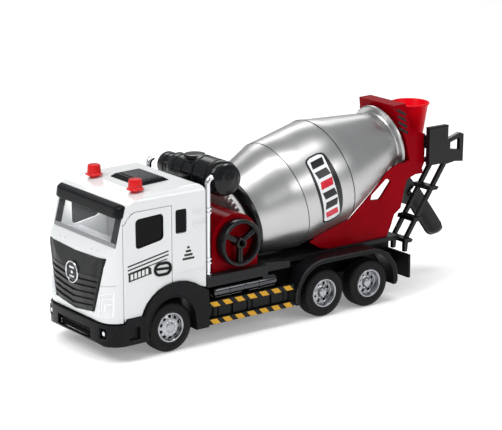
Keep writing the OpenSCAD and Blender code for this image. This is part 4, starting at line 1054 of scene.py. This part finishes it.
def drum_radius(s):
    """The drum's outer radius at a distance along its axis, behind the front cone."""
    return BAND_R + (CONE_R - BAND_R) * max(0.0, s - SEAM2_S) / (CONE_S - SEAM2_S)


def edge_height(x):
    """Height of the support wall's sloping front edge above a place along the truck."""
    for (x0, z0), (x1, z1) in zip(SUPPORT_EDGE, SUPPORT_EDGE[1:]):
        if x1 <= x <= x0:
            return z0 + (z1 - z0) * (x0 - x) / (x0 - x1)
    return 0.0


def support_details():
    """A moulded bead where each wall runs under the drum, and hazard bars on the arch."""
    drum_down = Vector((math.sin(DRUM_TILT), 0, math.cos(DRUM_TILT)))
    bead = []
    for s in range(84, 174):
        near = drum_radius(s) + 1.05
        fall = math.sqrt(max(0.0, near * near - SUPPORT_Y * SUPPORT_Y))
        point = DRUM_ORIGIN + DRUM_AXIS * s - drum_down * fall
        if 44 < point.z < edge_height(point.x) + 0.4:
            bead.append((point.x, SUPPORT_Y - 0.45, point.z))
    side_pieces("support_bead", tube(bead, 0.42), "red_plastic")
    bars = []
    for z in [117.5 + 4.2 * k for k in range(4)]:
        outline = [(-97.5, z + 1.0), (-97.5, z + 3.2), (-104.8, z - 0.8), (-104.8, z - 3.0)]
        bar, faces = prism(outline, -0.1, 0.12)
        for point in bar:
            point.y += SUPPORT_Y - 5.5 * max(0.0, point.z - 112) / 25
        bars.append((bar, faces))
    side_pieces("arch_bars", joined(*bars), "label_black")


def chute_details():
    """A rib down the outside of the trough and a rolled lip along its open edges."""
    up = (CHUTE_TOP - CHUTE_TIP).normalized()
    out = Vector((up.z, 0, -up.x))
    height = (CHUTE_TOP - CHUTE_TIP).length
    reach = CHUTE_R + 0.15
    rib = [CHUTE_TIP + out * x - up * z for x, z in arc((0, 0), reach, 90, 0, 8)]
    rib.append(CHUTE_TIP + out * reach + up * height * 0.86)
    piece("chute_rib", tube(rib, 0.7), "black_plastic", body="chute")
    lips = []
    for y in (0.85 - CHUTE_R, CHUTE_R - 0.85):
        edge = [CHUTE_TIP + up * (height * k / 10) + ALONG_Y * y - out * 1.5 for k in range(11)]
        lips.append(tube(edge, 0.8, up=ALONG_Z))
    piece("chute_lips", joined(*lips), "black_plastic", body="chute")


def ladder_platform():
    """Lid, catch and treads on the ladder's platform box."""
    lid = box((-136.9, 26.8, 117.2), (-118.8, 31.3, 118.4))
    catch = box((-127.9, 24.4, 114.2), (-124.9, 27.4, 117.6))
    piece("platform_lid", joined(lid, catch), "black_plastic", edge=0.4)
    treads = [box((x, 16.4, 93.2), (x + 1.2, 26.6, 93.75)) for x in [-136.2 + 2.4 * k for k in range(5)]]
    piece("platform_treads", joined(*treads), "black_plastic")


# ---------------------------------------------------------------- inside

BOARD_TOP = 98.2


def inner_parts():
    """What is sealed inside: the board's components, the speaker's cone and the coin cells."""
    board = box((112, -30, 96.4), (134, 30, BOARD_TOP))
    posts = [box((114, y, BOARD_TOP), (117, y + 3, 106.4)) for y in (12, -15)]
    piece("circuit_board_plain", joined(board, *posts), "board_green", "circuit_board", edge=0.15, segments=1)
    foot = BOARD_TOP - 0.1
    chips = [box((119, -6, foot), (126, 2, 99.6)), box((114.5, -26, foot), (117, -22, 99.1)),
             box((114.5, 21, foot), (117, 25, 99.1)), box((128, 6, foot), (131, 9, 99.3))]
    piece("board_chips", joined(*chips), "gloss_black", edge=0.1, segments=1)
    can = [(0, foot), (1.6, foot), (1.7, 98.4), (1.7, 102.4), (1.5, 102.7), (0, 102.6)]
    cans = [lathed(can, 24, upright(x, y)) for x, y in ((130, -12), (130, -17), (116, 8))]
    piece("board_capacitors", joined(*cans), "steel")
    cone = [(0, 29.0), (1.6, 28.9), (2.2, 28.2), (2.6, 27.2), (6.2, 25.4), (6.9, 25.0), (7.5, 25.3),
            (7.9, 24.8), (8.3, 24.5), (8.5, 24.8), (8.5, 29.2), (8.2, 29.5), (5.0, 29.5), (5.0, 33.2),
            (4.7, 33.5), (0, 33.5)]
    piece("speaker_cone", lathed(cone, 64, upright(-39)), "speaker_grey", "speaker")
    cell = [(0, 27.0), (4.6, 27.0), (4.8, 27.2), (5.4, 27.25), (5.75, 27.5), (5.8, 27.9), (5.8, 32.0),
            (5.6, 32.35), (5.2, 32.4), (0, 32.4)]
    cells = [lathed(cell, 48, upright(30 + 13.2 * k)) for k in range(3)]
    piece("coin_cells", joined(*cells), "steel", "battery_cells")


def gear_hubs():
    """The crown gear's boss and the pinion's collar."""
    boss = [(8.1, 34.2), (11.2, 34.2), (11.6, 33.7), (11.2, 33.1), (8.4, 33.1), (8.1, 33.4)]
    on_drum("crown_boss", lathed(boss, 64, closed=True), "gear_white")
    collar = [(2.05, 24.3), (4.2, 24.3), (4.5, 24.6), (4.5, 26.2), (4.2, 26.5), (2.05, 26.5)]
    piece("pinion_collar", lathed(collar, 40, along_axis(CRANK, ALONG_Y), True), "gear_white", body="crank")


make_camera()
make_floor()
make_lights()
dress_cad_nodes()
wheels()
drum()
grille()
headlamps()
windscreen()
sun_visor()
doors()
cab_sides()
beacons()
front_arches()
air_cleaner()
exhausts()
tanks()
guards()
hand_wheel()
hopper()
support_details()
chute_details()
fender_lips()
hatch_lid()
ladder_platform()
inner_parts()
gear_hubs()
